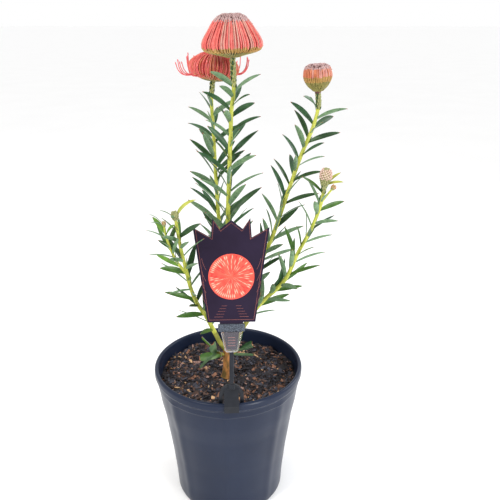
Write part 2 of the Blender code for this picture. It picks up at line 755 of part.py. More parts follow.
MASSES = {
    "foliage_centre": {"stems": ("centre",), "rules": ("centre",)},
    "foliage_back": {"stems": ("back",), "rules": ("back",)},
    "foliage_right": {"stems": ("right",), "rules": ("right",)},
    "foliage_far_right": {"stems": ("far_right", "far_right_twig"), "rules": ("far_right",)},
    "foliage_left": {"stems": ("left", "left_twig"), "rules": ("left", "left_twig")},
    "foliage_base_left": {"stems": ("base_left",), "rules": ("base_left",)},
    "foliage_base_right": {"stems": ("base_right",), "rules": ("base_right",)},
}


def stem_start(name):
    """Where the leafy stem starts: just past its bough's tip, or at its first way point."""
    if name in STEMS:
        return STEMS[name]["bare"] + CLEAR
    return 0.0


def make_stem(name, node):
    spec = ALL_STEMS[name]
    path = PATHS[name]
    arcs = path.between(stem_start(name), path.length, 14.0)
    points = [path.at(arc) for arc in arcs]
    radii = [radius_at(spec, path, arc) for arc in arcs]
    return tube(node, points, radii, "foliage", 1)


def make_masses():
    space = fill_space()
    pins = make_pins("back", space)
    for node, mass in MASSES.items():
        stem = make_stem(mass["stems"][0], node)
        pieces = [make_stem(name, "twig_" + name) for name in mass["stems"][1:]]
        pieces += [make_head(name) for name in mass["stems"] if name in HEADS]
        if node == "foliage_back":
            pieces += pins
        for rule_name in mass["rules"]:
            leaves = place_leaves(rule_name, LEAF_RULES[rule_name], space)
            pieces += [leaf_mesh("leaf_%s_%d" % (rule_name, i), leaf, "foliage") for i, leaf in enumerate(leaves)]
        fuse(stem, pieces)
        if mass["stems"][0] in BASE_TUFTS:
            subtract(stem, [make_trunk("trunk_cutter", CLEAR)])


# Label

def arch_outline():
    """The clip's arch: an outer and an inner curve joined at the two feet."""
    outline = []
    for half, top, order in ((ARCH_HALF_WIDTHS[0], ARCH_TOPS[0], 1), (ARCH_HALF_WIDTHS[1], ARCH_TOPS[1], -1)):
        row = [(half, ARCH_FOOT)]
        for i in range(11):
            angle = math.pi * i / 10
            row.append((half * math.cos(angle), ARCH_SHOULDER + (top - ARCH_SHOULDER) * math.sin(angle)))
        row.append((-half, ARCH_FOOT))
        outline += row[::order]
    return outline


def tongue_outline():
    """The tongue seen from the side: one face of its path, then the other."""
    front = []
    back = []
    for i, (out, up) in enumerate(TONGUE_PATH):
        before = TONGUE_PATH[max(i - 1, 0)]
        after = TONGUE_PATH[min(i + 1, len(TONGUE_PATH) - 1)]
        run = math.dist(before, after)
        slope = ((after[0] - before[0]) / run, (after[1] - before[1]) / run)
        half = TONGUE_THICKNESS / 2
        front.append((out + slope[1] * half, up - slope[0] * half))
        back.append((out - slope[1] * half, up + slope[0] * half))
    return front + back[::-1]


def make_label():
    leaning = label_matrix()
    upright = label_matrix(0.0, 0.0)
    mirrored = [(-across, up) for across, up in CARD_HALF_OUTLINE[-2::-1]]
    card = list(CARD_HALF_OUTLINE) + mirrored
    plate("label_card", card, -CARD_THICKNESS / 2, CARD_THICKNESS / 2, "label_print", leaning)
    block("label_band", BAND_SIZE, (0, 0, BAND_TOP - BAND_SIZE[2] / 2), "foam_band", leaning, 0.8)
    top, bottom = HOLDER_HALF_WIDTHS
    outline = ((-bottom + 2, HOLDER_BOTTOM), (bottom - 2, HOLDER_BOTTOM), (bottom, HOLDER_BOTTOM + 3),
               (top, HOLDER_TOP), (-top, HOLDER_TOP), (-bottom, HOLDER_BOTTOM + 3))
    half = HOLDER_THICKNESS / 2
    plate("label_holder", outline, -half, half, "clear_plastic", leaning)
    stake_top = HOLDER_BOTTOM - CLEAR
    block("label_stake", (*STAKE_SIZE, stake_top - STAKE_BOTTOM), (0, 0, (stake_top + STAKE_BOTTOM) / 2),
          "black_plastic", leaning, 0.5)
    clip = plate("label_clip", arch_outline(), *ARCH_PLATE, "black_plastic", upright)
    socket = block("socket", SOCKET_SIZE, (0, 1.4, STAKE_BOTTOM - CLEAR - SOCKET_SIZE[2] / 2),
                   "black_plastic", leaning, 0.6)
    sideways = upright @ Euler((0, 0, math.pi / 2)).to_matrix().to_4x4()
    tongue = plate("tongue", tongue_outline(), -TONGUE_HALF_WIDTH, TONGUE_HALF_WIDTH, "black_plastic", sideways)
    fuse(clip, [socket, tongue])


def shade_all():
    for obj in PARTS.objects:
        obj.data.shade_smooth()
        obj.data.set_sharp_from_angle(angle=math.radians(40))


make_pot()
make_potting_mix()
make_trunk("trunk", 0.0)
make_boughs()
make_masses()
make_label()
shade_all()
bpy.data.collections.remove(CUTTERS)
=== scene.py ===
import math
import random

import bmesh
import bpy
from mathutils import Euler, Matrix, Vector, noise


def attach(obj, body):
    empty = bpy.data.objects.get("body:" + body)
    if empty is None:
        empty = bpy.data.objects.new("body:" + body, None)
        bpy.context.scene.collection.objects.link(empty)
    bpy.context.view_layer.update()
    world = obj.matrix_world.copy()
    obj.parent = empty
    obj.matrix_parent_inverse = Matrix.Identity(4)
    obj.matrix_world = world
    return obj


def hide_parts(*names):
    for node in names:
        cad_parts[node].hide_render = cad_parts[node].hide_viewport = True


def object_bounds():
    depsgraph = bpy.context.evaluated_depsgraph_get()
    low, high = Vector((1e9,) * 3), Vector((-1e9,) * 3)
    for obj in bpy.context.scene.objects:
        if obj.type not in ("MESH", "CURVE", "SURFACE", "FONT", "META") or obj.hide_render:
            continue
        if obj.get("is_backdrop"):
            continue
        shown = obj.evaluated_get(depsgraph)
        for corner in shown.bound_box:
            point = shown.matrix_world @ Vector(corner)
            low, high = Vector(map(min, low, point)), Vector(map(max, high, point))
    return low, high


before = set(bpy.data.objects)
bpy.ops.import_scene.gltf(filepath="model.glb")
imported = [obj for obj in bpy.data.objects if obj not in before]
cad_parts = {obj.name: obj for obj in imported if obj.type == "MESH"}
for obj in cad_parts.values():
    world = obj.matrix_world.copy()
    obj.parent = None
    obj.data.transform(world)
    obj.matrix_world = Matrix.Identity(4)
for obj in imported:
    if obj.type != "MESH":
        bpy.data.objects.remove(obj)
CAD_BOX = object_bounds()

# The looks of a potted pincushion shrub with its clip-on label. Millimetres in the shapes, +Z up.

# Camera: millimetre lens, metres and degrees
CAMERA_LENS = 43.2
CAMERA_PLACE = (0.0303, -0.729, 0.648)
CAMERA_PITCH = 21.05

# Studio, in metres and watts: place, target, size, power and colour of each lamp
FLOOR_REACH = 60.0
WORLD_STRENGTH = 1.0
LAMPS = {
    "key": ((-0.9, -0.9, 1.6), (0, 0, 0.4), 0.5, 16.0, (1.0, 0.97, 0.92)),
    "strip": ((0.55, -0.75, 0.25), (0, 0, 0.12), 0.22, 3.0, (1.0, 1.0, 1.0)),
    "side": ((1.3, 0.5, 0.9), (0, 0, 0.3), 0.8, 12.0, (0.95, 0.97, 1.0)),
}

MM = 0.001
CLEAR = 0.3  # gap kept between neighbouring solids, in millimetres

# Pot, in millimetres
POT_HEIGHT = 200.0
RIM_RADIUS = 102.5
RIM_INNER_RADIUS = 96.5
RIM_DEPTH = 11.0
WALL = 2.2
FLOOR_THICKNESS = 3.0
BASE_RADIUS = 76.6
BASE_ROUNDING = 5.0
COLLAR_Z = 178.0
BODY_OUTLINE = ((78.2, 30.0), (82.3, 70.0), (86.4, 100.0), (90.2, 128.0), (95.0, 152.0), (98.4, 177.0))
RIB_ANGLES = (45, 90, 135, 225, 270, 315)
RIB_HEIGHT = 1.7
RIB_HALF_WIDTH = 5.0

# Potting mix, in millimetres
MIX_LEVEL = 180.0
MIX_BUMP = 2.6
MIX_FLAT_RADIUS = 14.0

# Trunk and stems, in millimetres: way points and radii at the two ends
TRUNK_FOOT = (-2.0, -6.0)
TRUNK_TOP = (-2.0, -8.0, 250.0)
TRUNK_RADIUS = 5.6
TRUNK_TOP_RADIUS = 4.6
FLARE = 2.6
FLARE_HEIGHT = 6.0

STEMS = {
    "centre": {
        "points": ((-2, -8, 250.3), (-1, -6, 298), (1, -2, 368), (3, 0, 435),
                   (6, 0, 499), (8, 0, 544), (11, 0, 570), (10, 0, 608)),
        "radii": (3.4, 2.2), "bare": 34.0},
    "back": {
        "points": ((-2, -7, 243), (-5, 5, 256), (-7, 16, 303), (-10, 26, 379), (-14, 34, 452),
                   (-16, 40, 503), (-18, 44, 543), (-18, 45, 559), (-16, 46, 579)),
        "radii": (3.0, 2.1), "bare": 62.0},
    "right": {
        "points": ((-2, -7, 234), (7, 0, 252), (22, 6, 292), (42, 12, 341), (59, 16, 378),
                   (78, 22, 435), (95, 27, 485), (109, 30, 520), (115, 31, 545), (114, 31, 565)),
        "radii": (3.2, 2.2), "bare": 70.0},
    "far_right": {
        "points": ((-2, -8, 221), (11, -12, 243), (41, -14, 293), (74, -20, 332), (91, -24, 373),
                   (107, -28, 409), (116, -31, 438), (119, -32, 463)),
        "radii": (3.3, 1.9), "bare": 58.0},
    "left": {
        "points": ((-2, -7, 222), (-11, -14, 240), (-26, -26, 282), (-37, -34, 306), (-44, -44, 333),
                   (-48, -52, 361), (-52, -60, 391), (-54, -65, 411), (-56, -68, 432)),
        "radii": (3.2, 1.8), "bare": 40.0},
}

TWIGS = {
    "left_twig": {"stem": "left", "points": ((-48, -51, 356), (-58, -60, 376), (-64, -66, 395),
                                            (-68, -69, 412), (-69, -71, 425)), "radii": (1.9, 1.2)},
    "far_right_twig": {"stem": "far_right", "points": ((116, -31, 440), (122, -34, 450), (128, -36, 459)),
                       "radii": (1.4, 1.2)},
}

BASE_TUFTS = {
    "base_left": {"points": ((-2, -7, 214), (-10, -13, 221), (-17, -18, 226)), "radii": (2.0, 1.4)},
    "base_right": {"points": ((-2, -7, 209), (8, -4, 216), (17, -1, 221)), "radii": (2.0, 1.4)},
}

# Leaf rules: arc lengths in millimetres along the stem, angles in degrees
GOLDEN_ANGLE = 137.508
LEAF_SAMPLES = 9
TURN_TRIES = 9
TURN_STEP = 17.0
LEAF_MARGIN = 0.9

LEAF_FIELDS = ("start", "stop_short", "spacing", "length", "width", "opening", "arch", "phase", "seed")
LEAF_TABLE = {
    "centre": (40, 26, 5.9, (48, 52, 34), 7.4, (36, 44), (8, 30), 20, 11),
    "back": (70, 15, 6.3, (46, 50, 34), 7.2, (38, 46), (8, 26), 75, 23),
    "right": (78, 16, 6.4, (46, 48, 40), 7.0, (32, 46), (4, 34), 140, 31),
    "far_right": (62, 8, 6.0, (40, 44, 34), 6.6, (36, 40), (6, 24), 200, 43),
    "left": (46, 5, 5.8, (42, 44, 28), 7.0, (44, 42), (6, 22), 250, 57),
    "left_twig": (14, 1, 5.2, (34, 34, 22), 5.6, (40, 30), (10, 30), 160, 61),
    "base_left": (8, 0, 3.0, (34, 34, 30), 12.0, (50, 30), (10, 20), 190, 71),
    "base_right": (9, 0, 4.0, (30, 30, 26), 10.0, (45, 30), (10, 16), 30, 83),
}
LEAF_RULES = {stem: dict(zip(LEAF_FIELDS, row)) for stem, row in LEAF_TABLE.items()}

# Flower heads, in millimetres: radius and height above the head's base
BELL_OUTLINE = ((3.2, -2.0), (13.0, 1.5), (30.0, 5.5), (34.8, 10.5), (33.5, 17.5), (28.5, 26.0),
                (22.5, 35.0), (16.0, 42.0), (8.0, 45.6))
DOME_OUTLINE = ((3.0, -3.0), (14.0, -1.0), (26.0, 4.0), (31.0, 11.0), (29.0, 19.0), (20.0, 26.5), (9.0, 30.0))
GLOBE_OUTLINE = ((3.0, -3.0), (6.5, 2.0), (13.0, 8.0), (16.8, 16.0), (17.0, 22.0), (14.5, 28.5), (8.0, 32.0))
EGG_OUTLINE = ((2.4, -3.0), (4.6, 3.0), (6.9, 10.0), (6.4, 16.0), (3.6, 20.5))

HEADS = {
    "centre": {"outline": BELL_OUTLINE, "reach": 36.0, "middle": 18.0},
    "back": {"outline": DOME_OUTLINE, "reach": 33.0, "middle": 13.0},
    "right": {"outline": GLOBE_OUTLINE, "reach": 19.0, "middle": 17.0},
    "far_right": {"outline": EGG_OUTLINE, "reach": 9.0, "middle": 10.0},
    "left": {"outline": ((1.6, -2.0), (3.4, 1.0), (4.2, 5.0), (2.6, 9.5)), "reach": 6.0,
             "middle": 5.0},
    "left_twig": {"outline": ((1.0, -1.5), (1.9, 1.0), (2.2, 3.0), (1.2, 5.5)), "reach": 3.5,
                  "middle": 2.5},
    "far_right_twig": {"outline": ((1.2, -1.0), (2.4, 1.0), (2.8, 3.2), (1.4, 5.6)), "reach": 4.0,
                       "middle": 3.0},
}

PIN_COUNT = 26
PIN_ROOT_RADIUS = 24.0
PIN_REACH = 45.0
PIN_TIP_HEIGHT = 23.0

# Label, in millimetres along its own width and height, from the rim's top
LABEL_YAW = 4.2
LABEL_LEAN = 15.0
LABEL_ROLL = 1.2
CARD_THICKNESS = 0.8
CARD_HALF_OUTLINE = ((14.5, 103.3), (14.5, 105.3), (29.4, 105.3), (46.4, 221.5), (24.8, 209.3),
                     (23.0, 232.8), (13.9, 219.6), (0.0, 230.4))
BAND_SIZE = (33.0, 4.6, 9.4)
BAND_TOP = 103.0
HOLDER_TOP = 93.3
HOLDER_BOTTOM = 68.0
HOLDER_HALF_WIDTHS = (12.9, 8.4)
HOLDER_THICKNESS = 5.0
STAKE_SIZE = (5.4, 2.4)
STAKE_BOTTOM = 27.6


# Paths

def curve_through(points, step):
    """Points about one step apart on a smooth curve through the way points."""
    way = [Vector(point) for point in points]
    ends = [2 * way[0] - way[1]] + way + [2 * way[-1] - way[-2]]
    dense = []
    for a, b, c, d in zip(ends, ends[1:], ends[2:], ends[3:]):
        count = max(2, int((c - b).length / step * 4))
        for i in range(count):
            t = i / count
            dense.append(0.5 * (2 * b + (c - a) * t + (2 * a - 5 * b + 4 * c - d) * t * t
                                + (3 * b - 3 * c + d - a) * t * t * t))
    dense.append(way[-1])
    return dense


class Path:
    """A smooth path, read by arc length in millimetres."""

    def __init__(self, points, step=3.0):
        self.dense = curve_through(points, step)
        self.marks = [0.0]
        for a, b in zip(self.dense, self.dense[1:]):
            self.marks.append(self.marks[-1] + (b - a).length)
        self.length = self.marks[-1]

    def at(self, arc):
        arc = min(max(arc, 0.0), self.length)
        for i in range(len(self.marks) - 1):
            if arc <= self.marks[i + 1]:
                span = self.marks[i + 1] - self.marks[i]
                share = (arc - self.marks[i]) / span if span else 0.0
                return self.dense[i].lerp(self.dense[i + 1], share)
        return self.dense[-1].copy()

    def along(self, arc):
        return (self.at(arc + 1.5) - self.at(arc - 1.5)).normalized()

    def between(self, start, end, step):
        count = max(2, round((end - start) / step))
        return [start + (end - start) * i / count for i in range(count + 1)]


def mix(a, b, share):
    return a + (b - a) * share


def radius_at(spec, path, arc):
    return mix(spec["radii"][0], spec["radii"][1], arc / path.length)


ALL_STEMS = {**STEMS, **TWIGS, **BASE_TUFTS}
PATHS = {name: Path(spec["points"]) for name, spec in ALL_STEMS.items()}


# Shapes shared with the frame

def outer_profile():
    """The pot's outer side from the rim's top middle down to the centre of the underside."""
    lip_middle = (RIM_RADIUS + RIM_INNER_RADIUS) / 2
    lip = [(lip_middle, POT_HEIGHT), (RIM_RADIUS - 1.0, POT_HEIGHT - 0.8), (RIM_RADIUS, POT_HEIGHT - 3.0),
           (RIM_RADIUS, POT_HEIGHT - RIM_DEPTH + 1.5), (RIM_RADIUS - 1.4, POT_HEIGHT - RIM_DEPTH),
           (99.4, COLLAR_Z + 8.0), (99.2, COLLAR_Z)]
    side = list(reversed(BODY_OUTLINE))
    corner = []
    for i in range(4):
        angle = math.pi / 2 * i / 3
        corner.append((BASE_RADIUS - BASE_ROUNDING * (1 - math.cos(angle)),
                       BASE_ROUNDING * (1 - math.sin(angle))))
    return lip + side + corner + [(0.0, 0.0)]


def inner_profile():
    """The pot's inner side from the centre of the floor up to the rim's inner edge."""
    levels = [(BASE_RADIUS + 0.4 - WALL, FLOOR_THICKNESS + 3.0)]
    levels += [(radius - WALL, height) for radius, height in BODY_OUTLINE[:-1]]
    floor_edge = (BASE_RADIUS - WALL - 2.5, FLOOR_THICKNESS)
    top = [(RIM_INNER_RADIUS - 1.1, MIX_LEVEL), (RIM_INNER_RADIUS - 0.4, POT_HEIGHT - 12.0),
           (RIM_INNER_RADIUS, POT_HEIGHT - 3.0),
           (RIM_INNER_RADIUS + 0.9, POT_HEIGHT - 0.8)]
    return [(0.0, FLOOR_THICKNESS), floor_edge] + levels + top


def profile_radius(profile, height):
    """The profile's radius at a height, read in straight stretches."""
    for (r0, z0), (r1, z1) in zip(profile, profile[1:]):
        if min(z0, z1) <= height <= max(z0, z1) and z0 != z1:
            return mix(r0, r1, (height - z0) / (z1 - z0))
    return profile[-1][0]


def rib(angle, height):
    """How far the moulded ribs stand out at an angle and height, in millimetres."""
    fade = min(1.0, max(0.0, (POT_HEIGHT - RIM_DEPTH - 4.0 - height) / 10.0))
    fade *= min(1.0, max(0.0, height / 12.0))
    strength = fade * mix(0.55, 1.0, height / POT_HEIGHT)
    degrees = math.degrees(angle) % 360
    total = 0.0
    for centre in RIB_ANGLES:
        away = abs((degrees - centre + 180) % 360 - 180)
        total += math.exp(-((away / RIB_HALF_WIDTH) ** 2))
    return RIB_HEIGHT * strength * total


def mix_bump(x, y):
    """The uneven top of the potting mix, flat under the trunk's foot."""
    from_trunk = math.hypot(x - TRUNK_FOOT[0], y - TRUNK_FOOT[1])
    rough = math.sin(x * 0.11 + 1.3) * math.cos(y * 0.09 - 0.4) + 0.5 * math.sin(x * 0.21 - y * 0.17)
    share = min(1.0, max(0.0, (from_trunk - MIX_FLAT_RADIUS) / 12.0))
    return MIX_BUMP * rough * share


def trunk_points():
    foot = MIX_LEVEL + CLEAR
    return ((*TRUNK_FOOT, foot), (*TRUNK_FOOT, foot + 5.0), (-1.6, -7.0, 212.0), TRUNK_TOP)


# Leaves by a seeded rule

def stem_frame(path, arc):
    """Two directions across the stem, and the stem's own, at an arc length."""
    along = path.along(arc)
    across = (Vector((1, 0, 0)) - along * along.x).normalized()
    return across, along.cross(across), along


def leaf_centre_line(path, arc, turn, length, opening, arch):
    """The leaf's middle line from the stem's axis, and its sideways direction."""
    across, ahead, along = stem_frame(path, arc)
    outward = across * math.cos(turn) + ahead * math.sin(turn)
    place = path.at(arc)
    points = [place.copy()]
    for i in range(LEAF_SAMPLES - 1):
        share = (i + 0.5) / (LEAF_SAMPLES - 1)
        angle = math.radians(opening + arch * share)
        place = place + (along * math.cos(angle) + outward * math.sin(angle)) * length / (LEAF_SAMPLES - 1)
        points.append(place.copy())
    return points, along.cross(outward).normalized()


def label_matrix(lean=LABEL_LEAN, roll=LABEL_ROLL):
    """The label's frame at the rim's top: X along the rim, Z up the stake, -Y out of the pot."""
    yaw = math.radians(LABEL_YAW)
    place = Vector((RIM_RADIUS * math.sin(yaw), -RIM_RADIUS * math.cos(yaw), POT_HEIGHT)) * MM
    turn = Euler((math.radians(-lean), math.radians(roll), yaw)).to_matrix().to_4x4()
    return Matrix.Translation(place) @ turn


LABEL_INVERSE = label_matrix().inverted()


def near_label(point, margin):
    """Whether a point in millimetres is within a margin of the label's pieces."""
    across, out, up = (LABEL_INVERSE @ (point * MM)) / MM
    if up > HOLDER_TOP:
        half = mix(30.0, 47.0, (up - HOLDER_TOP) / 120.0)
        return up < 234.0 + margin and abs(across) < half + margin and abs(out) < margin + 2.6
    return abs(across) < 17.0 + margin and abs(out) < margin + 10.0


def near_pot(point, margin):
    """Whether a point in millimetres is within a margin of the pot or the mix."""
    radius = math.hypot(point.x, point.y)
    if point.z < MIX_LEVEL + 4.0 + margin and radius < RIM_INNER_RADIUS + margin:
        return True
    return point.z < POT_HEIGHT + margin and radius > RIM_INNER_RADIUS - 2.0 - margin


class Space:
    """The places that stems, heads and placed leaves already fill."""

    def __init__(self):
        self.balls = []

    def add(self, place, radius, owner):
        self.balls.append((place, radius, owner))

    def blocked(self, points, radii, owners):
        for point, radius in zip(points, radii):
            if near_label(point, radius) or near_pot(point, radius):
                return True
            for place, size, held_by in self.balls:
                if held_by not in owners:
                    away = point - place
                    reach = radius + size
                    if abs(away.x) < reach and abs(away.y) < reach and away.length < reach:
                        return True
        return False


def stem_owner(stem):
    return TWIGS[stem]["stem"] if stem in TWIGS else stem


def fill_space():
    """All stems and heads, entered before any leaf is placed."""
    space = Space()
    for name, spec in ALL_STEMS.items():
        path = PATHS[name]
        for arc in path.between(0.0, path.length, 3.0):
            space.add(path.at(arc), radius_at(spec, path, arc) + 1.0, stem_owner(name))
        if name in STEMS:
            for arc in path.between(0.0, spec["bare"], 3.0):
                space.add(path.at(arc), radius_at(spec, path, arc) + 1.0, "bough")
    trunk = Path(trunk_points())
    for arc in trunk.between(0.0, trunk.length, 3.0):
        space.add(trunk.at(arc), TRUNK_RADIUS + 1.2, "trunk")
    for name, head in HEADS.items():
        path = PATHS[name]
        place = path.at(path.length) + path.along(path.length) * head["middle"]
        space.add(place, head["reach"], "head_" + name)
    return space


def place_leaves(stem, rule, space):
    """Leaves of one rule: each takes the first free turn round the stem, or is skipped."""
    rng = random.Random(rule["seed"])
    path = PATHS[stem]
    owner = stem_owner(stem)
    stop = path.length - rule["stop_short"]
    count = int((stop - rule["start"]) / rule["spacing"]) + 1
    leaves = []
    for i in range(count):
        share = i / max(1, count - 1)
        arc = rule["start"] + i * rule["spacing"] + rng.uniform(-1.0, 1.0)
        low, middle, high = rule["length"]
        length = mix(low, middle, share * 2) if share < 0.5 else mix(middle, high, share * 2 - 1)
        length *= rng.uniform(0.88, 1.1)
        width = rule["width"] * rng.uniform(0.85, 1.1)
        opening = mix(*rule["opening"], share) + rng.uniform(-8, 8)
        arch = mix(*rule["arch"], share) + rng.uniform(-8, 8)
        roll = rng.uniform(-0.35, 0.35)
        turn = math.radians(rule["phase"] + i * GOLDEN_ANGLE + rng.uniform(-10, 10))
        for attempt in range(TURN_TRIES):
            swing = math.radians(TURN_STEP) * ((attempt + 1) // 2) * (-1 if attempt % 2 else 1)
            points, side = leaf_centre_line(path, arc, turn + swing, length, opening, arch)
            body = points[2:]
            radii = [width / 2 + LEAF_MARGIN] * len(body)
            if not space.blocked(body, radii, (owner,)):
                leaves.append({"points": points, "side": side, "width": width, "roll": roll})
                for point, radius in zip(body, radii):
                    space.add(point, radius, owner)
                break
    return leaves


def plan_pins(name, space):
    """Freed styles that leave the open flower low down and curve out and up."""
    rng = random.Random(97)
    path = PATHS[name]
    base = path.at(path.length)
    pins = []
    for i in range(PIN_COUNT):
        turn = math.tau * i / PIN_COUNT + rng.uniform(-0.08, 0.08)
        out = Vector((math.cos(turn), math.sin(turn), 0))
        reach = PIN_REACH * rng.uniform(0.86, 1.03)
        tip = PIN_TIP_HEIGHT + rng.uniform(-6, 5)
        way = (base + out * PIN_ROOT_RADIUS + Vector((0, 0, 6)),
               base + out * mix(PIN_ROOT_RADIUS, reach, 0.55) + Vector((0, 0, 5)),
               base + out * mix(PIN_ROOT_RADIUS, reach, 0.9) + Vector((0, 0, 12)),
               base + out * reach + Vector((0, 0, tip)))
        pin_path = Path(way)
        arcs = pin_path.between(0.0, pin_path.length, 7.0)
        points = [pin_path.at(arc) for arc in arcs]
        if space.blocked(points[1:], [2.0] * (len(points) - 1), (name, "head_" + name)):
            continue
        for point in points[1:]:
            space.add(point, 2.0, name)
        pins.append(points)
    return pins


# Materials: colours as screen values, noise scales per metre

NOISE_ROUGHNESS = 0.55
GRAIN_FINENESS = 5
STEM_STRETCH = (1, 1, 0.3)
BARK_STRETCH = (1, 1, 0.45)


def shader_of(name, colour, roughness, **inputs):
    """A new material and its shader, with further sockets set by name."""
    mat = bpy.data.materials.new(name)
    mat.use_nodes = True
    shader = mat.node_tree.nodes["Principled BSDF"]
    shader.inputs["Base Color"].default_value = (*colour, 1.0)
    shader.inputs["Roughness"].default_value = roughness
    for label, value in inputs.items():
        shader.inputs[label.replace("_", " ")].default_value = value
    return mat, shader


def texture_place(tree, stretch):
    place = tree.nodes.new("ShaderNodeTexCoord")
    scale = tree.nodes.new("ShaderNodeMapping")
    scale.inputs["Scale"].default_value = stretch
    tree.links.new(place.outputs["Object"], scale.inputs["Vector"])
    return scale.outputs["Vector"]


def noise_of(tree, vector, scale, detail=4.0):
    noise = tree.nodes.new("ShaderNodeTexNoise")
    noise.inputs["Scale"].default_value = scale
    noise.inputs["Detail"].default_value = detail
    noise.inputs["Roughness"].default_value = NOISE_ROUGHNESS
    tree.links.new(vector, noise.inputs["Vector"])
    return noise.outputs["Fac"]


def ramp_of(tree, factor, stops):
    ramp = tree.nodes.new("ShaderNodeValToRGB")
    while len(ramp.color_ramp.elements) < len(stops):
        ramp.color_ramp.elements.new(0.5)
    for element, (position, colour) in zip(ramp.color_ramp.elements, stops):
        element.position = position
        element.color = (*colour, 1.0)
    tree.links.new(factor, ramp.inputs["Fac"])
    return ramp.outputs["Color"]


def bump_of(tree, factor, shader, strength, distance):
    bump = tree.nodes.new("ShaderNodeBump")
    bump.inputs["Strength"].default_value = strength
    bump.inputs["Distance"].default_value = distance
    tree.links.new(factor, bump.inputs["Height"])
    tree.links.new(bump.outputs["Normal"], shader.inputs["Normal"])


def from_screen(colour):
    """A colour given in screen values, 0 to 255, as a linear one."""
    def linear(value):
        value /= 255
        return value / 12.92 if value <= 0.04045 else ((value + 0.055) / 1.055) ** 2.4
    return tuple(linear(value) for value in colour)


def mottled(name, dark, light, roughness, scale, bump=0.25, distance=0.0004, stretch=(1, 1, 1), spread=0.18,
            **inputs):
    """A colour that varies between two tones by noise, with a fine bump of the same grain."""
    dark = from_screen(dark)
    light = from_screen(light)
    mat, shader = shader_of(name, dark, roughness, **inputs)
    tree = mat.node_tree
    vector = texture_place(tree, stretch)
    tone = noise_of(tree, vector, scale)
    colour = ramp_of(tree, tone, ((0.5 - spread, dark), (0.5 + spread, light)))
    tree.links.new(colour, shader.inputs["Base Color"])
    relief = noise_of(tree, vector, scale * GRAIN_FINENESS, 3.0)
    bump_of(tree, relief, shader, bump, distance)
    return mat


def leaf_tone(name, dark, light):
    return mottled(name, dark, light, 0.4, 90, 0.2, 0.0003, Specular_IOR_Level=0.35)


LEAF_UNDER = mottled("leaf_under", (80, 112, 78), (112, 142, 102), 0.5, 160, 0.12)
LEAF_TIP = mottled("leaf_tip", (126, 66, 44), (160, 98, 62), 0.5, 300, 0.1)
LEAF_TINTS = {
    "blue": leaf_tone("leaf_blue", (38, 72, 46), (60, 98, 62)),
    "deep": leaf_tone("leaf_deep", (32, 62, 34), (50, 84, 44)),
    "grass": leaf_tone("leaf_grass", (50, 86, 32), (78, 116, 46)),
    "bright": mottled("leaf_bright", (70, 112, 24), (104, 146, 40), 0.42, 90, 0.2, 0.0003),
}
YOUNG_LEAF = mottled("leaf_young", (138, 150, 48), (176, 178, 74), 0.45, 120, 0.15)
STEM_GREEN = mottled("stem_green", (150, 160, 48), (198, 200, 84), 0.5, 220, 0.35, 0.0003,
                     STEM_STRETCH)
STEM_DULL = mottled("stem_dull", (118, 122, 44), (166, 158, 68), 0.6, 200, 0.45, 0.0004, STEM_STRETCH)
BARK = mottled("bark_tan", (104, 84, 40), (196, 132, 72), 0.8, 150, 0.9, 0.0008, BARK_STRETCH, 0.12)
STYLE_PINK = mottled("style_pink", (208, 84, 80), (228, 122, 112), 0.45, 140, 0.1)
STYLE_ROSE = mottled("style_rose", (196, 66, 72), (222, 96, 94), 0.45, 140, 0.1)
STYLE_ORANGE = mottled("style_orange", (184, 94, 62), (208, 130, 92), 0.45, 140, 0.1)
STYLE_PALE = mottled("style_pale", (186, 122, 112), (212, 156, 140), 0.5, 140, 0.1)
STYLE_GOLD = mottled("style_gold", (150, 112, 56), (184, 146, 80), 0.5, 140, 0.1)
STYLE_OLIVE = mottled("style_olive", (104, 98, 48), (148, 138, 72), 0.55, 140, 0.15)
CROWN_GREY = mottled("crown_grey", (168, 134, 136), (206, 178, 174), 0.75, 500, 0.4)
# Painted shade: a dark tone on the lower part of each head's heart, showing as shade in the gaps between the
# styles; a few crown knobs take it too
HEART_SHADE = mottled("heart_painted_shade", (60, 46, 44), (112, 66, 58), 0.8, 300, 0.4)
BRACT = mottled("bract_scales", (120, 124, 76), (170, 172, 118), 0.6, 500, 0.3)
BUD_HAIR = mottled("bud_hair", (196, 160, 148), (232, 204, 192), 0.8, 600, 0.4)
PIN_KNOB = mottled("pin_knob", (200, 70, 82), (232, 120, 120), 0.4, 300, 0.1)
# Bark chips: material and share of all the chips
MIX_TONES = {
    "black": (mottled("mix_black", (24, 20, 24), (46, 41, 46), 0.85, 200, 0.6), 0.54),
    "slate": (mottled("mix_slate", (44, 44, 54), (74, 74, 86), 0.8, 200, 0.6), 0.20),
    "brown": (mottled("mix_brown", (62, 44, 38), (98, 72, 60), 0.85, 200, 0.6), 0.14),
    "russet": (mottled("mix_russet", (120, 82, 62), (158, 112, 88), 0.8, 200, 0.5), 0.06),
    "rosy": (mottled("mix_rosy", (142, 108, 98), (172, 138, 128), 0.8, 200, 0.5), 0.035),
    "tan": (mottled("mix_tan", (186, 140, 96), (218, 180, 138), 0.75, 200, 0.4), 0.025),
}
POT = mottled("pot_slate", (25, 33, 52), (32, 41, 62), 0.3, 14, 0.05, 0.0002, spread=0.3,
              Specular_IOR_Level=0.2)
CARD = mottled("card_purple", (30, 20, 40), (36, 26, 48), 0.4, 30, 0.03, Specular_IOR_Level=0.15)
COPPER = mottled("copper_ink", (120, 62, 58), (160, 92, 78), 0.4, 200, 0.02)
DISC_CORAL = mottled("disc_coral", (222, 66, 52), (240, 92, 72), 0.4, 120, 0.02)
DISC_RED = mottled("disc_red", (186, 30, 36), (214, 48, 48), 0.4, 120, 0.02)
DISC_PALE = mottled("disc_pale", (250, 150, 128), (252, 184, 160), 0.4, 120, 0.02)
DISC_GREEN = mottled("disc_green", (70, 84, 50), (104, 112, 70), 0.4, 120, 0.02)
FOAM = mottled("foam_grey", (46, 52, 62), (88, 96, 108), 0.9, 700, 0.7, 0.0004, spread=0.1)
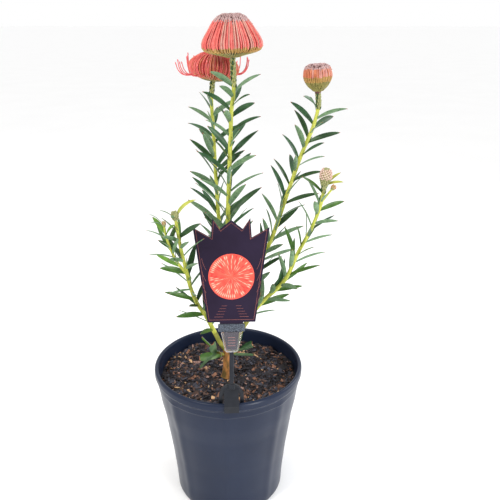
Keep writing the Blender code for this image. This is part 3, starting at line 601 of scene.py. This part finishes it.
BLACK = mottled("black_plastic", (22, 25, 32), (32, 35, 42), 0.35, 60, 0.05, Specular_IOR_Level=0.25)
CLEAR_PLASTIC, _ = shader_of("clear_plastic", (0.82, 0.8, 0.86), 0.06, Transmission_Weight=0.92, IOR=1.35)
FLOOR = mottled("floor_pale", (250.5, 250.5, 250.5), (252.7, 252.7, 252.7), 0.8, 3, 0.0)


# Mesh making

class Shell:
    """Gathers many small shapes, in millimetres, into one mesh with several materials."""

    def __init__(self):
        self.verts = []
        self.faces = []
        self.slots = []

    def add(self, verts, faces, slot=0):
        base = len(self.verts)
        self.verts.extend(verts)
        for face in faces:
            self.faces.append([base + corner for corner in face])
            self.slots.append(slot)

    def rings(self, rows, slot_of=None):
        """Joins rows of equal length into a closed skin."""
        slot_of = slot_of or (lambda k, i: 0)
        size = len(rows[0])
        base = len(self.verts)
        for row in rows:
            self.verts.extend(row)
        for k in range(len(rows) - 1):
            for i in range(size):
                j = (i + 1) % size
                low = base + k * size
                self.faces.append([low + i, low + j, low + size + j, low + size + i])
                self.slots.append(slot_of(k, i))
        top = base + (len(rows) - 1) * size
        self.faces.append([base + i for i in range(size)][::-1])
        self.faces.append([top + i for i in range(size)])
        self.slots += [slot_of(0, 0), slot_of(len(rows) - 2, 0)]

    def tube(self, points, radii, sides, slot_of=None, shape=None):
        """A closed tube; shape(k, angle) gives a factor on its radius."""
        rows = []
        normal = None
        for k, point in enumerate(points):
            ahead = (points[min(k + 1, len(points) - 1)] - points[max(k - 1, 0)]).normalized()
            if normal is None:
                normal = ahead.orthogonal()
            normal = (normal - ahead * normal.dot(ahead)).normalized()
            other = ahead.cross(normal)
            row = []
            for angle in around(sides):
                radius = radii[k] * (shape(k, angle) if shape else 1.0)
                row.append(point + (normal * math.cos(angle) + other * math.sin(angle)) * radius)
            rows.append(row)
        self.rings(rows, slot_of)

    def ellipsoid(self, centre, up, radius, height, slot=0, sides=6):
        steps = 4
        points = []
        radii = []
        for k in range(steps + 1):
            angle = math.pi * k / steps
            points.append(centre - up * math.cos(angle) * height)
            radii.append(max(0.02, math.sin(angle)) * radius)
        self.tube(points, radii, sides, lambda k, i: slot)

    def make(self, name, materials, slot, replaced=(), smooth=True, angle=50):
        """The finished piece; edges sharper than the angle stay sharp."""
        mesh = bpy.data.meshes.new(name)
        mesh.from_pydata([tuple(Vector(v) * MM) for v in self.verts], [], self.faces)
        for mat in materials:
            mesh.materials.append(mat)
        mesh.polygons.foreach_set("material_index", self.slots)
        shape = bmesh.new()
        shape.from_mesh(mesh)
        bmesh.ops.recalc_face_normals(shape, faces=shape.faces)
        shape.to_mesh(mesh)
        shape.free()
        if smooth:
            mesh.shade_smooth()
            mesh.set_sharp_from_angle(angle=math.radians(angle))
        return place_piece(name, mesh, replaced)


def place_piece(name, mesh, replaced=()):
    obj = bpy.data.objects.new(name, mesh)
    bpy.context.scene.collection.objects.link(obj)
    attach(obj, "root")
    if replaced:
        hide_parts(*replaced)
    return obj


def around(count):
    """Even angles of one full turn."""
    return [math.tau * i / count for i in range(count)]


def polar(radius, angle, height):
    return Vector((radius * math.cos(angle), radius * math.sin(angle), height))


def grain(point, scale, seed=0.0):
    return noise.noise(Vector(point) * scale + Vector((seed, seed * 0.7, -seed)))


# Pot and potting mix

POT_SIDES = 240
PROFILE_STEP = 5.0
RIB_START_RADIUS = 60.0
RIM_ROUNDING = 0.7
BED_SIDES = 144
BED_RINGS = 40
BED_BOTTOM = 150.0
CHIP_COUNT = 6200
CHIP_LENGTHS = (3, 4, 6, 8, 10, 13)
CHIP_FREE_RADIUS = 7.5
CHIP_SEED = 5


def smooth_profile(profile, step):
    """The straight stretches of a profile cut into steps, so that the ribs show on them."""
    rows = [profile[0]]
    for a, b in zip(profile, profile[1:]):
        count = max(1, round(math.dist(a, b) / step))
        rows += [(mix(a[0], b[0], i / count), mix(a[1], b[1], i / count)) for i in range(1, count + 1)]
    return rows


def make_pot():
    profile = smooth_profile(inner_profile() + outer_profile(), PROFILE_STEP)
    shell = Shell()
    rows = []
    for radius, height in profile[1:-1]:
        ribbed = radius > RIB_START_RADIUS
        rows.append([polar(radius + (rib(angle, height) if ribbed else 0.0), angle, height)
                     for angle in around(POT_SIDES)])
    shell.rings(rows)
    pot = shell.make("pot_body", [POT], "pot", ("pot",), angle=38)
    soften(pot, RIM_ROUNDING, 24)


def add_chip(shell, rng, centre, length):
    """One flake of bark: a thin block with uneven corners, turned at random."""
    width = length * rng.uniform(0.22, 0.6)
    thick = rng.uniform(0.5, 1.7)
    turn = Euler((rng.gauss(0, 0.35), rng.gauss(0, 0.35), rng.uniform(0, math.tau))).to_matrix()
    verts = []
    for x in (-1, 1):
        for y in (-1, 1):
            for z in (-1, 1):
                corner = Vector((x * length / 2 * rng.uniform(0.6, 1), y * width / 2 * rng.uniform(0.5, 1),
                                 z * thick / 2 * rng.uniform(0.5, 1)))
                verts.append(centre + turn @ corner)
    faces = ((0, 1, 3, 2), (4, 6, 7, 5), (0, 4, 5, 1), (2, 3, 7, 6), (0, 2, 6, 4), (1, 5, 7, 3))
    shell.add(verts, faces)


def make_potting_mix():
    reach = profile_radius(inner_profile(), MIX_LEVEL) - 0.8
    make_bed(reach)
    scatter_chips(reach)


def make_bed(reach):
    """The surface that the chips lie on."""
    shell = Shell()
    angles = around(BED_SIDES)
    rows = [[polar(reach, angle, BED_BOTTOM) for angle in angles]]
    for k in range(BED_RINGS):
        radius = reach * (1 - k / BED_RINGS) + 0.3
        row = []
        for angle in angles:
            x, y = radius * math.cos(angle), radius * math.sin(angle)
            lift = mix_bump(x, y) + 1.6 * grain((x, y, 0), 0.25) - 1.2
            row.append(Vector((x, y, MIX_LEVEL + lift)))
        rows.append(row)
    shell.rings(rows)
    shell.make("mix_bed", [MIX_TONES["black"][0]], "potting_mix", ("potting_mix",))


def scatter_chips(reach):
    """Loose bark chips, one mesh for each tone."""
    rng = random.Random(CHIP_SEED)
    shells = {tone: Shell() for tone in MIX_TONES}
    for _ in range(CHIP_COUNT):
        radius = (reach - 2.0) * math.sqrt(rng.random())
        angle = rng.uniform(0, math.tau)
        x, y = radius * math.cos(angle), radius * math.sin(angle)
        draw = rng.random()
        length = rng.choice(CHIP_LENGTHS) * rng.uniform(0.8, 1.2)
        if math.hypot(x - TRUNK_FOOT[0], y - TRUNK_FOOT[1]) < CHIP_FREE_RADIUS + length / 2:
            continue
        for tone, (_, share) in MIX_TONES.items():
            if draw < share:
                break
            draw -= share
        centre = Vector((x, y, MIX_LEVEL + mix_bump(x, y) + rng.uniform(-1.4, 1.0)))
        add_chip(shells[tone], rng, centre, min(length, 2 * (reach - radius)))
    for tone, shell in shells.items():
        shell.make("mix_chips_" + tone, [MIX_TONES[tone][0]], "potting_mix", smooth=False)


# Trunk, boughs and leafy stems

BARK_STEP = 1.2
BARK_SIDES = 32
BARK_RELIEF = 0.09
STEM_STEP = 2.0
STEM_SIDES = 16
STEM_RELIEF = 0.05
LEAF_SCAR = 0.07
TUFT_START = 4.0


def make_trunk():
    path = Path(trunk_points())
    arcs = path.between(0.0, path.length, BARK_STEP)
    points = [path.at(arc) for arc in arcs]
    radii = []
    for arc in arcs:
        taper = mix(TRUNK_RADIUS, TRUNK_TOP_RADIUS, arc / path.length)
        radii.append(taper + FLARE * math.exp(-arc / FLARE_HEIGHT))

    def relief(k, angle):
        ridge = grain((math.cos(angle) * 3, math.sin(angle) * 3, arcs[k] * 0.12), 1.3)
        knot = 0.35 * max(0.0, grain((math.cos(angle), math.sin(angle), arcs[k] * 0.09), 1.1, 4.0))
        return 1.0 + BARK_RELIEF * ridge + knot * 0.4

    shell = Shell()
    shell.tube(points, radii, BARK_SIDES, None, relief)
    shell.make("trunk_bark", [BARK], "bark", ("trunk",))


def make_stem_piece(name, start, end, piece, mat, slot, replaced=()):
    spec = ALL_STEMS[name]
    path = PATHS[name]
    arcs = path.between(start, end, STEM_STEP)
    points = [path.at(arc) for arc in arcs]
    radii = [radius_at(spec, path, arc) for arc in arcs]

    def relief(k, angle):
        ridge = grain((math.cos(angle) * 2, math.sin(angle) * 2, arcs[k] * 0.1), 1.2, 2.0)
        scar = max(0.0, math.sin(arcs[k] * 1.1 + angle)) ** 6
        return 1.0 + STEM_RELIEF * ridge + LEAF_SCAR * scar

    shell = Shell()
    shell.tube(points, radii, STEM_SIDES, None, relief)
    shell.make(piece, [mat], slot, replaced)


def make_limbs():
    for name, spec in STEMS.items():
        make_stem_piece(name, 0.0, spec["bare"], "limb_" + name, STEM_DULL, "green_stem", ("bough_" + name,))
        make_stem_piece(name, spec["bare"], PATHS[name].length, "stem_" + name, STEM_GREEN, "foliage")
    for name in TWIGS:
        make_stem_piece(name, 0.0, PATHS[name].length, "stem_" + name, STEM_GREEN, "foliage")
    for name in BASE_TUFTS:
        make_stem_piece(name, TUFT_START, PATHS[name].length, "stem_" + name, STEM_DULL, "foliage")


# Leaves

# Leaf blades: shares of the length or of the half width, angles in degrees
BLADE_STATIONS = 12
TIP_START = 0.965
BLADE_THICKNESS = 0.055
BLADE_CUP = 0.2
SECOND_TINT_SHARE = 0.38
BLADE_FULLNESS = 1.05
BLADE_TWIST = (30, 62)
UPPER_ROW = ((-1.0, 0.0), (-0.5, 0.0), (0.0, 0.0), (0.5, 0.0), (1.0, 0.0))
LOWER_ROW = ((0.5, 1.0), (0.0, 1.35), (-0.5, 1.0))


def blade_width(share, teeth):
    """The blade's half width along its length: narrow root, widest near the middle, pointed tip."""
    root = 0.36 + 0.64 * math.sin(min(1.0, share / 0.5) * math.pi / 2)
    widest = 0.72 if teeth else 0.42
    tip = (1 - max(0.0, (share - widest) / (1.001 - widest)) ** 2.3) ** 0.75
    if teeth and share > 0.8:
        tip = 0.75 + 0.25 * math.cos((share - 0.8) * 90)
        tip *= 1.0 if share < 0.97 else 0.5
    return root * tip


def blade(shell, leaf, teeth=False):
    """A closed leaf blade with a midrib, a pale underside and a small tinted tip."""
    smooth = Path(leaf["points"], 4.0)
    rows = []
    for k in range(BLADE_STATIONS + 1):
        share = 1.0 if k == BLADE_STATIONS else TIP_START * k / (BLADE_STATIONS - 1)
        arc = smooth.length * share
        place = smooth.at(arc)
        ahead = smooth.along(min(max(arc, 1.0), smooth.length - 1.0))
        side = Matrix.Rotation(leaf["roll"] * share + leaf["twist"], 3, ahead) @ leaf["side"]
        above = ahead.cross(side).normalized()
        half = BLADE_FULLNESS * leaf["width"] / 2 * max(0.08, blade_width(share, teeth))
        thick = leaf["width"] * BLADE_THICKNESS
        row = []
        for across, down in UPPER_ROW + LOWER_ROW:
            lift = half * BLADE_CUP * across * across - down * thick * (1 - 0.6 * abs(across))
            if across == 0.0 and down == 0.0:
                lift -= thick * 0.5
            row.append(place + side * (half * across) + above * lift)
        rows.append(row)

    def slot_of(k, i):
        if k >= BLADE_STATIONS - 1:
            return 2
        return 0 if i < 4 else 1

    shell.rings(rows, slot_of)


MASS_TINTS = {
    "centre": ("blue", "deep"), "back": ("blue", "deep"), "right": ("blue", "deep"),
    "far_right": ("grass", "blue"), "left": ("grass", "deep"), "left_twig": ("grass", "bright"),
    "base_left": ("bright", "grass"), "base_right": ("deep", "grass"),
}


def make_leaves(space):
    pins = plan_pins("back", space)
    for name, rule in LEAF_RULES.items():
        leaves = place_leaves(name, rule, space)
        shells = (Shell(), Shell())
        rng = random.Random(rule["seed"] + 1)
        for leaf in leaves:
            leaf["twist"] = math.radians(rng.uniform(*BLADE_TWIST)) * rng.choice((-1, 1))
            blade(shells[rng.random() < SECOND_TINT_SHARE], leaf, teeth=name.startswith("base"))
        replaced = ("foliage_" + name,) if name != "left_twig" else ()
        for tint, shell, stands_for in zip(MASS_TINTS[name], shells, (replaced, ())):
            if shell.verts:
                shell.make("leaves_%s_%s" % (name, tint), [LEAF_TINTS[tint], LEAF_UNDER, LEAF_TIP], "foliage",
                           stands_for)
    return pins


# Flower heads

def head_matrix(name):
    """Places a head's outline on the end of its stem, in millimetres."""
    path = PATHS[name]
    up = path.along(path.length)
    turn = Vector((0, 0, 1)).rotation_difference(up).to_matrix().to_4x4()
    return Matrix.Translation(path.at(path.length)) @ turn


def outline_path(name):
    return Path([(radius, 0.0, height) for radius, height in HEADS[name]["outline"]], 3.0)


# Rows of styles: count, start and end along the outline, offset and radius in millimetres.
# Stops are the shares of the outline where the styles change tone.
STYLE_SAMPLES = 16
PALER_SHARE = 0.3
CORE_ROWS = 24
CORE_SIDES = 40
HEAD_LOOKS = {
    "centre": {"rows": ((62, 0.05, 0.93, 0.2, 0.85), (62, 0.05, 0.84, -1.2, 0.8), (40, 0.3, 0.97, -0.6, 0.7)),
               "stops": (0.28, 0.4, 0.8),
               "tones": (STYLE_OLIVE, STYLE_GOLD, STYLE_PINK, CROWN_GREY, STYLE_PALE),
               "knobs": 330, "knob_from": 0.76, "core": -3.4},
    "back": {"rows": ((58, 0.05, 0.93, 0.0, 0.85), (58, 0.05, 0.84, -1.2, 0.8), (40, 0.3, 0.97, -0.6, 0.7)),
             "stops": (0.2, 0.36, 0.97),
             "tones": (STYLE_OLIVE, STYLE_ORANGE, STYLE_PINK, STYLE_ROSE, STYLE_ORANGE),
             "knobs": 220, "knob_from": 0.84, "core": -3.0},
    "right": {"rows": ((46, 0.1, 0.9, 0.0, 0.8), (46, 0.1, 0.84, -0.6, 0.7)),
              "stops": (0.42, 0.55, 0.78),
              "tones": (STYLE_OLIVE, STYLE_GOLD, STYLE_ORANGE, CROWN_GREY, STYLE_PALE),
              "knobs": 170, "knob_from": 0.74, "core": -1.2},
}


def style_zone(share, stops, paler):
    """The material of a style at a share of the outline, with a paler one for some."""
    zone = sum(share > stop for stop in stops)
    return 4 if paler and zone == 2 else zone


def make_head(name, look):
    """A pincushion head: a heart whose lower part is painted shade for the gaps between the styles, rows of
    looped styles over it and a crown of knobs.
    """
    outline = outline_path(name)
    matrix = head_matrix(name)
    rng = random.Random(len(name) * 7)

    def on_head(share, angle, offset):
        arc = outline.length * share
        place = outline.at(arc)
        slope = outline.along(arc)
        radius = max(0.2, place.x + slope.z * offset)
        height = place.z - slope.x * offset
        return matrix @ polar(radius, angle, height)

    shell = Shell()
    stops = look["stops"]
    for count, start, end, offset, thick in look["rows"]:
        for i in range(count):
            angle = math.tau * (i + (0.5 if offset < 0 else 0)) / count + rng.uniform(-0.02, 0.02)
            last = end - rng.uniform(0.0, 0.07)
            sway = rng.uniform(-0.05, 0.05)
            shares = [mix(start, last, k / STYLE_SAMPLES) for k in range(STYLE_SAMPLES + 1)]
            wave = rng.uniform(-0.5, 0.5)
            paler = rng.random() < PALER_SHARE
            points = [on_head(s, angle + sway * s, offset + wave * math.sin(s * 9)) for s in shares]
            radii = [thick * mix(1.0, 0.75, s) for s in shares]
            shell.tube(points, radii, 6, lambda k, _: style_zone(shares[k], stops, paler))
    shell.make("styles_" + name, list(look["tones"]), "foliage")
    knobs = Shell()
    total = look["knobs"]
    for i in range(total):
        share = mix(look["knob_from"], 0.995, math.sqrt(i / total))
        angle = i * math.radians(GOLDEN_ANGLE)
        foot = on_head(share, angle, -1.0)
        top = on_head(share, angle, 1.0)
        up = (top - foot).normalized()
        # About one knob in fourteen takes the heart's dark painted-shade tone.
        knobs.ellipsoid(foot + up * rng.uniform(0.7, 1.3), up, 0.75, 1.5, 0 if rng.random() < 0.93 else 1, 5)
    knobs.make("knobs_" + name, [look["tones"][3], HEART_SHADE], "foliage")
    core = Shell()
    rows = []
    for k in range(CORE_ROWS + 1):
        share = k / CORE_ROWS
        depth = look["core"] * min(1.0, share * 5, (1 - share) * 9 + 0.15)
        rows.append([on_head(share, angle, depth) for angle in around(CORE_SIDES)])
    # Lowest rows: painted shade for the gaps under and between the styles; middle rows: a style tone; top
    # rows: the crown tone.
    core.rings(rows, lambda k, _: 0 if k < 8 else (1 if k < 19 else 2))
    middle = STYLE_GOLD if name == "right" else STYLE_ROSE
    core.make("heart_" + name, [HEART_SHADE, middle, look["tones"][3]], "foliage")


BUD_SCALES = {"far_right": 130, "left": 60, "left_twig": 26, "far_right_twig": 26}


def make_small_buds():
    """Closed buds: an egg of overlapping hairy scales."""
    for name in BUD_SCALES:
        outline = outline_path(name)
        matrix = head_matrix(name)
        shell = Shell()
        rows = []
        for k in range(15):
            place = outline.at(outline.length * k / 14)
            rows.append([matrix @ polar(place.x * 0.93, angle, place.z) for angle in around(20)])
        shell.rings(rows)
        scales = BUD_SCALES[name]
        for i in range(scales):
            share = mix(0.1, 0.97, i / scales)
            place = outline.at(outline.length * share)
            angle = i * math.radians(GOLDEN_ANGLE)
            centre = matrix @ polar(place.x, angle, place.z)
            lean = Vector((math.cos(angle) * 0.4, math.sin(angle) * 0.4, 1.0))
            up = (matrix.to_3x3() @ lean).normalized()
            shell.ellipsoid(centre, up, 0.16 * HEADS[name]["reach"] * 0.75, 1.3, 1 if share > 0.45 else 0, 5)
        top = {"left": BRACT, "far_right": BUD_HAIR}.get(name, STYLE_ORANGE)
        shell.make("bud_" + name, [BRACT, top], "foliage")


# Necks under the heads: stem, length in millimetres and count of bracts
NECKS = (("centre", 34.0, 46), ("back", 22.0, 26), ("right", 20.0, 34), ("far_right", 9.0, 14))


def make_necks():
    """Small pointed bracts that lie on the stem under the larger heads."""
    shell = Shell()
    for name, reach, count in NECKS:
        path = PATHS[name]
        for i in range(count):
            arc = path.length - reach * (1 - i / count)
            across, ahead, along = stem_frame(path, arc)
            angle = i * math.radians(GOLDEN_ANGLE)
            out = across * math.cos(angle) + ahead * math.sin(angle)
            foot = path.at(arc) + out * (radius_at(ALL_STEMS[name], path, arc) + 0.3)
            shell.ellipsoid(foot, (along + out * 0.25).normalized(), 1.3, 3.0, i % 4 == 0, 6)
    shell.make("neck_bracts", [BRACT, LEAF_TINTS["deep"]], "foliage")


# Young leaves at the tips: stem, turn, length, opening, arch and width
YOUNG_LEAVES = (
    ("left", 30, 36, 20, 80, 4.0), ("left", 170, 22, 30, 50, 3.4), ("left", 260, 18, 35, 30, 3.2),
    ("far_right", 20, 26, 35, 30, 3.6), ("far_right", 350, 24, 50, 40, 3.6),
    ("far_right", 70, 16, 20, 30, 3.2),
    ("left_twig", 150, 24, 30, 60, 3.6), ("left_twig", 200, 18, 40, 40, 3.2),
)


def make_young_leaves():
    shell = Shell()
    for stem, turn, length, opening, arch, width in YOUNG_LEAVES:
        path = PATHS[stem]
        points, side = leaf_centre_line(path, path.length - 1.0, math.radians(turn), length, opening, arch)
        blade(shell, {"points": points, "side": side, "width": width, "roll": 0.2, "twist": 0.7})
    shell.make("leaves_young", [YOUNG_LEAF, LEAF_UNDER, LEAF_TIP], "foliage")


def make_pins(pins):
    shell = Shell()
    for points in pins:
        smooth = Path([tuple(point) for point in points], 2.0)
        arcs = smooth.between(0.0, smooth.length, 1.6)
        line = [smooth.at(arc) for arc in arcs]
        shell.tube(line, [mix(0.75, 0.5, k / len(line)) for k in range(len(line))], 7)
        shell.ellipsoid(line[-1], smooth.along(smooth.length), 0.85, 1.9, 1)
    shell.make("pins_back", [STYLE_ROSE, PIN_KNOB], "foliage")


# Label

def label_piece(name, shell, mats, slot, replaced=()):
    """A piece drawn in the label's own frame, X across, Z up and -Y towards the front."""
    matrix = label_matrix()
    shell.verts = [(matrix @ (Vector(v) * MM)) / MM for v in shell.verts]
    return shell.make(name, mats, slot, replaced, angle=40)


def flat_shape(shell, outline, low, high, slot=0):
    """An outline in X and Z given thickness along Y."""
    size = len(outline)
    verts = [(x, low, z) for x, z in outline] + [(x, high, z) for x, z in outline]
    faces = [list(range(size)), list(range(size, 2 * size))[::-1]]
    faces += [[i, (i + 1) % size, size + (i + 1) % size, size + i] for i in range(size)]
    shell.add(verts, faces, slot)


def stroke(shell, start, end, width, front, slot=0):
    """A thin printed line, standing a hair off the card."""
    run = math.dist(start, end)
    across = ((end[1] - start[1]) / run * width / 2, -(end[0] - start[0]) / run * width / 2)
    outline = [(start[0] - across[0], start[1] - across[1]), (end[0] - across[0], end[1] - across[1]),
               (end[0] + across[0], end[1] + across[1]), (start[0] + across[0], start[1] + across[1])]
    flat_shape(shell, outline, -front, -front + 0.1, slot)


INK_LIFT = 0.12

# Rosette on the card: petal rings as inner and outer shares of the radius, and counts
ROSETTE_RADIUS = 28.0
ROSETTE_UP = 161.5
ROSETTE_SIDES = 72
ROSETTE_RINGS = ((0.05, 0.34, 18), (0.26, 0.6, 34), (0.52, 0.82, 52), (0.76, 0.97, 64))


def rosette(shell, radius, centre, front):
    """A plain round ornament: rings of slim petals round a small heart."""
    rng = random.Random(19)
    disc = [(radius * math.cos(turn), centre + radius * math.sin(turn)) for turn in around(ROSETTE_SIDES)]
    flat_shape(shell, disc, -front, -front + 0.2, 0)
    for ring, (inner, outer, count) in enumerate(ROSETTE_RINGS):
        for i in range(count):
            angle = math.tau * (i + 0.5 * (ring % 2)) / count
            half = 0.75 * math.pi * (inner + outer) / 2 / count
            low, high = radius * inner, radius * outer
            middle = (low + high) / 2
            petal = []
            for reach, turn in ((low, 0), (middle, -half), (high, 0), (middle, half)):
                petal.append((reach * math.cos(angle + turn), centre + reach * math.sin(angle + turn)))
            lift = front + 0.05 + 0.02 * ring + 0.01 * (i % 3)
            flat_shape(shell, petal, -lift, -lift + 0.1, rng.choice((1, 2, 2, 0, 2 if ring else 3)))


def label_plate(name, outline, half, mat, slot, replaced=(), rounding=0.0):
    """A plate on the label's middle plane."""
    shell = Shell()
    flat_shape(shell, outline, -half, half)
    piece = label_piece(name, shell, [mat], slot, replaced)
    if rounding:
        soften(piece, rounding)


def even_outline(low_half, high_half, low, high):
    return ((-low_half, low), (low_half, low), (high_half, high), (-high_half, high))


def make_card():
    front = CARD_THICKNESS / 2
    outline = list(CARD_HALF_OUTLINE) + [(-across, up) for across, up in CARD_HALF_OUTLINE[-2::-1]]
    label_plate("card_sheet", outline, front, CARD, "label_card", ("label_card",))
    disc = Shell()
    rosette(disc, ROSETTE_RADIUS, ROSETTE_UP, front + 0.25)
    label_piece("card_rosette", disc, [DISC_CORAL, DISC_RED, DISC_PALE, DISC_GREEN], "label_card")
    lines = Shell()
    draw_card_lines(lines, outline, front + INK_LIFT)
    label_piece("card_lines", lines, [COPPER], "label_card")


def draw_card_lines(lines, outline, front):
    """A border line, and a few plain strokes at the sides and the foot."""
    corners = [corner for corner in outline if corner[1] > 105.3 or abs(corner[0]) > 20]
    inset = [(across * 0.93, mix(165.0, up, 0.95)) for across, up in corners]
    for a, b in zip(inset, inset[1:] + inset[:1]):
        stroke(lines, a, b, 0.35, front)
    for mirror in (-1, 1):
        for i in range(5):
            up = 112.0 + i * 3.4
            stroke(lines, (mirror * (21.0 - i * 2.2), up), (mirror * (10.0 - i * 1.2), up), 0.3, front)
        for i in range(4):
            foot = 128.0 + i * 14.0
            stroke(lines, (mirror * 31.0, foot), (mirror * 34.5, foot + 8.0), 0.3, front)
            stroke(lines, (mirror * 34.5, foot + 8.0), (mirror * 36.0, foot + 14.0), 0.3, front)


def make_holder():
    """The foam band, the clear holder with the card's tab in it, and the stake."""
    half = BAND_SIZE[0] / 2
    band = even_outline(half, half, BAND_TOP - BAND_SIZE[2], BAND_TOP)
    label_plate("foam_band", band, BAND_SIZE[1] / 2, FOAM, "label_band", ("label_band",), 1.0)
    top, bottom = HOLDER_HALF_WIDTHS
    sides = ((-bottom + 2, HOLDER_BOTTOM), (bottom - 2, HOLDER_BOTTOM), (bottom, HOLDER_BOTTOM + 3),
             (top, HOLDER_TOP), (-top, HOLDER_TOP), (-bottom, HOLDER_BOTTOM + 3))
    label_plate("clear_holder", sides, HOLDER_THICKNESS / 2, CLEAR_PLASTIC, "label_holder",
                ("label_holder",), 0.8)
    tab = even_outline(6.5, 9.5, HOLDER_BOTTOM + 3, HOLDER_TOP - 1)
    label_plate("card_tab", tab, 0.4, CARD, "label_card")
    lines = Shell()
    for i in range(4):
        up = HOLDER_BOTTOM + 8 + i * 3.4
        stroke(lines, (-4.5, up), (4.5, up), 1.1, 0.55)
    label_piece("tab_lines", lines, [COPPER], "label_card")
    half = STAKE_SIZE[0] / 2
    bar = even_outline(half, half, STAKE_BOTTOM, HOLDER_BOTTOM - CLEAR)
    label_plate("stake_bar", bar, STAKE_SIZE[1] / 2, BLACK, "label_black", ("label_stake",), 0.7)


def make_label():
    make_card()
    make_holder()
    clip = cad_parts["label_clip"]
    clip.data.materials.clear()
    clip.data.materials.append(BLACK)


def soften(obj, width, angle=30):
    """Rounds the edges that are sharper than an angle in degrees."""
    rounding = obj.modifiers.new("rounding", "BEVEL")
    rounding.width = width * MM
    rounding.segments = 3
    rounding.limit_method = "ANGLE"
    rounding.angle_limit = math.radians(angle)


# Light, floor and camera

def add_area(name, place, target, size, power, colour):
    data = bpy.data.lights.new(name, "AREA")
    data.shape = "DISK"
    data.size = size
    data.energy = power
    data.color = colour
    obj = bpy.data.objects.new(name, data)
    obj.location = place
    obj.rotation_euler = (Vector(target) - Vector(place)).to_track_quat("-Z", "Y").to_euler()
    bpy.context.scene.collection.objects.link(obj)


def make_studio():
    shape = bmesh.new()
    bmesh.ops.create_grid(shape, x_segments=1, y_segments=1, size=FLOOR_REACH)
    mesh = bpy.data.meshes.new("floor")
    shape.to_mesh(mesh)
    shape.free()
    mesh.materials.append(FLOOR)
    floor = bpy.data.objects.new("floor", mesh)
    bpy.context.scene.collection.objects.link(floor)
    floor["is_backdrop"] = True
    world = bpy.data.worlds.new("studio")
    world.use_nodes = True
    world.node_tree.nodes["Background"].inputs["Color"].default_value = (1.0, 1.0, 1.0, 1.0)
    world.node_tree.nodes["Background"].inputs["Strength"].default_value = WORLD_STRENGTH
    bpy.context.scene.world = world
    bpy.context.scene.view_settings.view_transform = "Standard"
    for name, lamp in LAMPS.items():
        add_area(name, *lamp)


def make_camera():
    data = bpy.data.cameras.new("camera")
    data.sensor_width = 36.0
    data.lens = CAMERA_LENS
    camera = bpy.data.objects.new("camera", data)
    camera.location = CAMERA_PLACE
    camera.rotation_euler = (math.radians(90.0 - CAMERA_PITCH), 0.0, 0.0)
    bpy.context.scene.collection.objects.link(camera)
    bpy.context.scene.camera = camera


make_studio()
make_camera()
make_pot()
make_potting_mix()
make_trunk()
make_limbs()
PINS = make_leaves(fill_space())
for head_name, head_look in HEAD_LOOKS.items():
    make_head(head_name, head_look)
make_small_buds()
make_necks()
make_young_leaves()
make_pins(PINS)
make_label()

bpy.context.view_layer.update()
VISUAL_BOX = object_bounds()
boxes = {"cad": CAD_BOX, "visual": VISUAL_BOX}
{name: [list(corner) for corner in box] for name, box in boxes.items()}
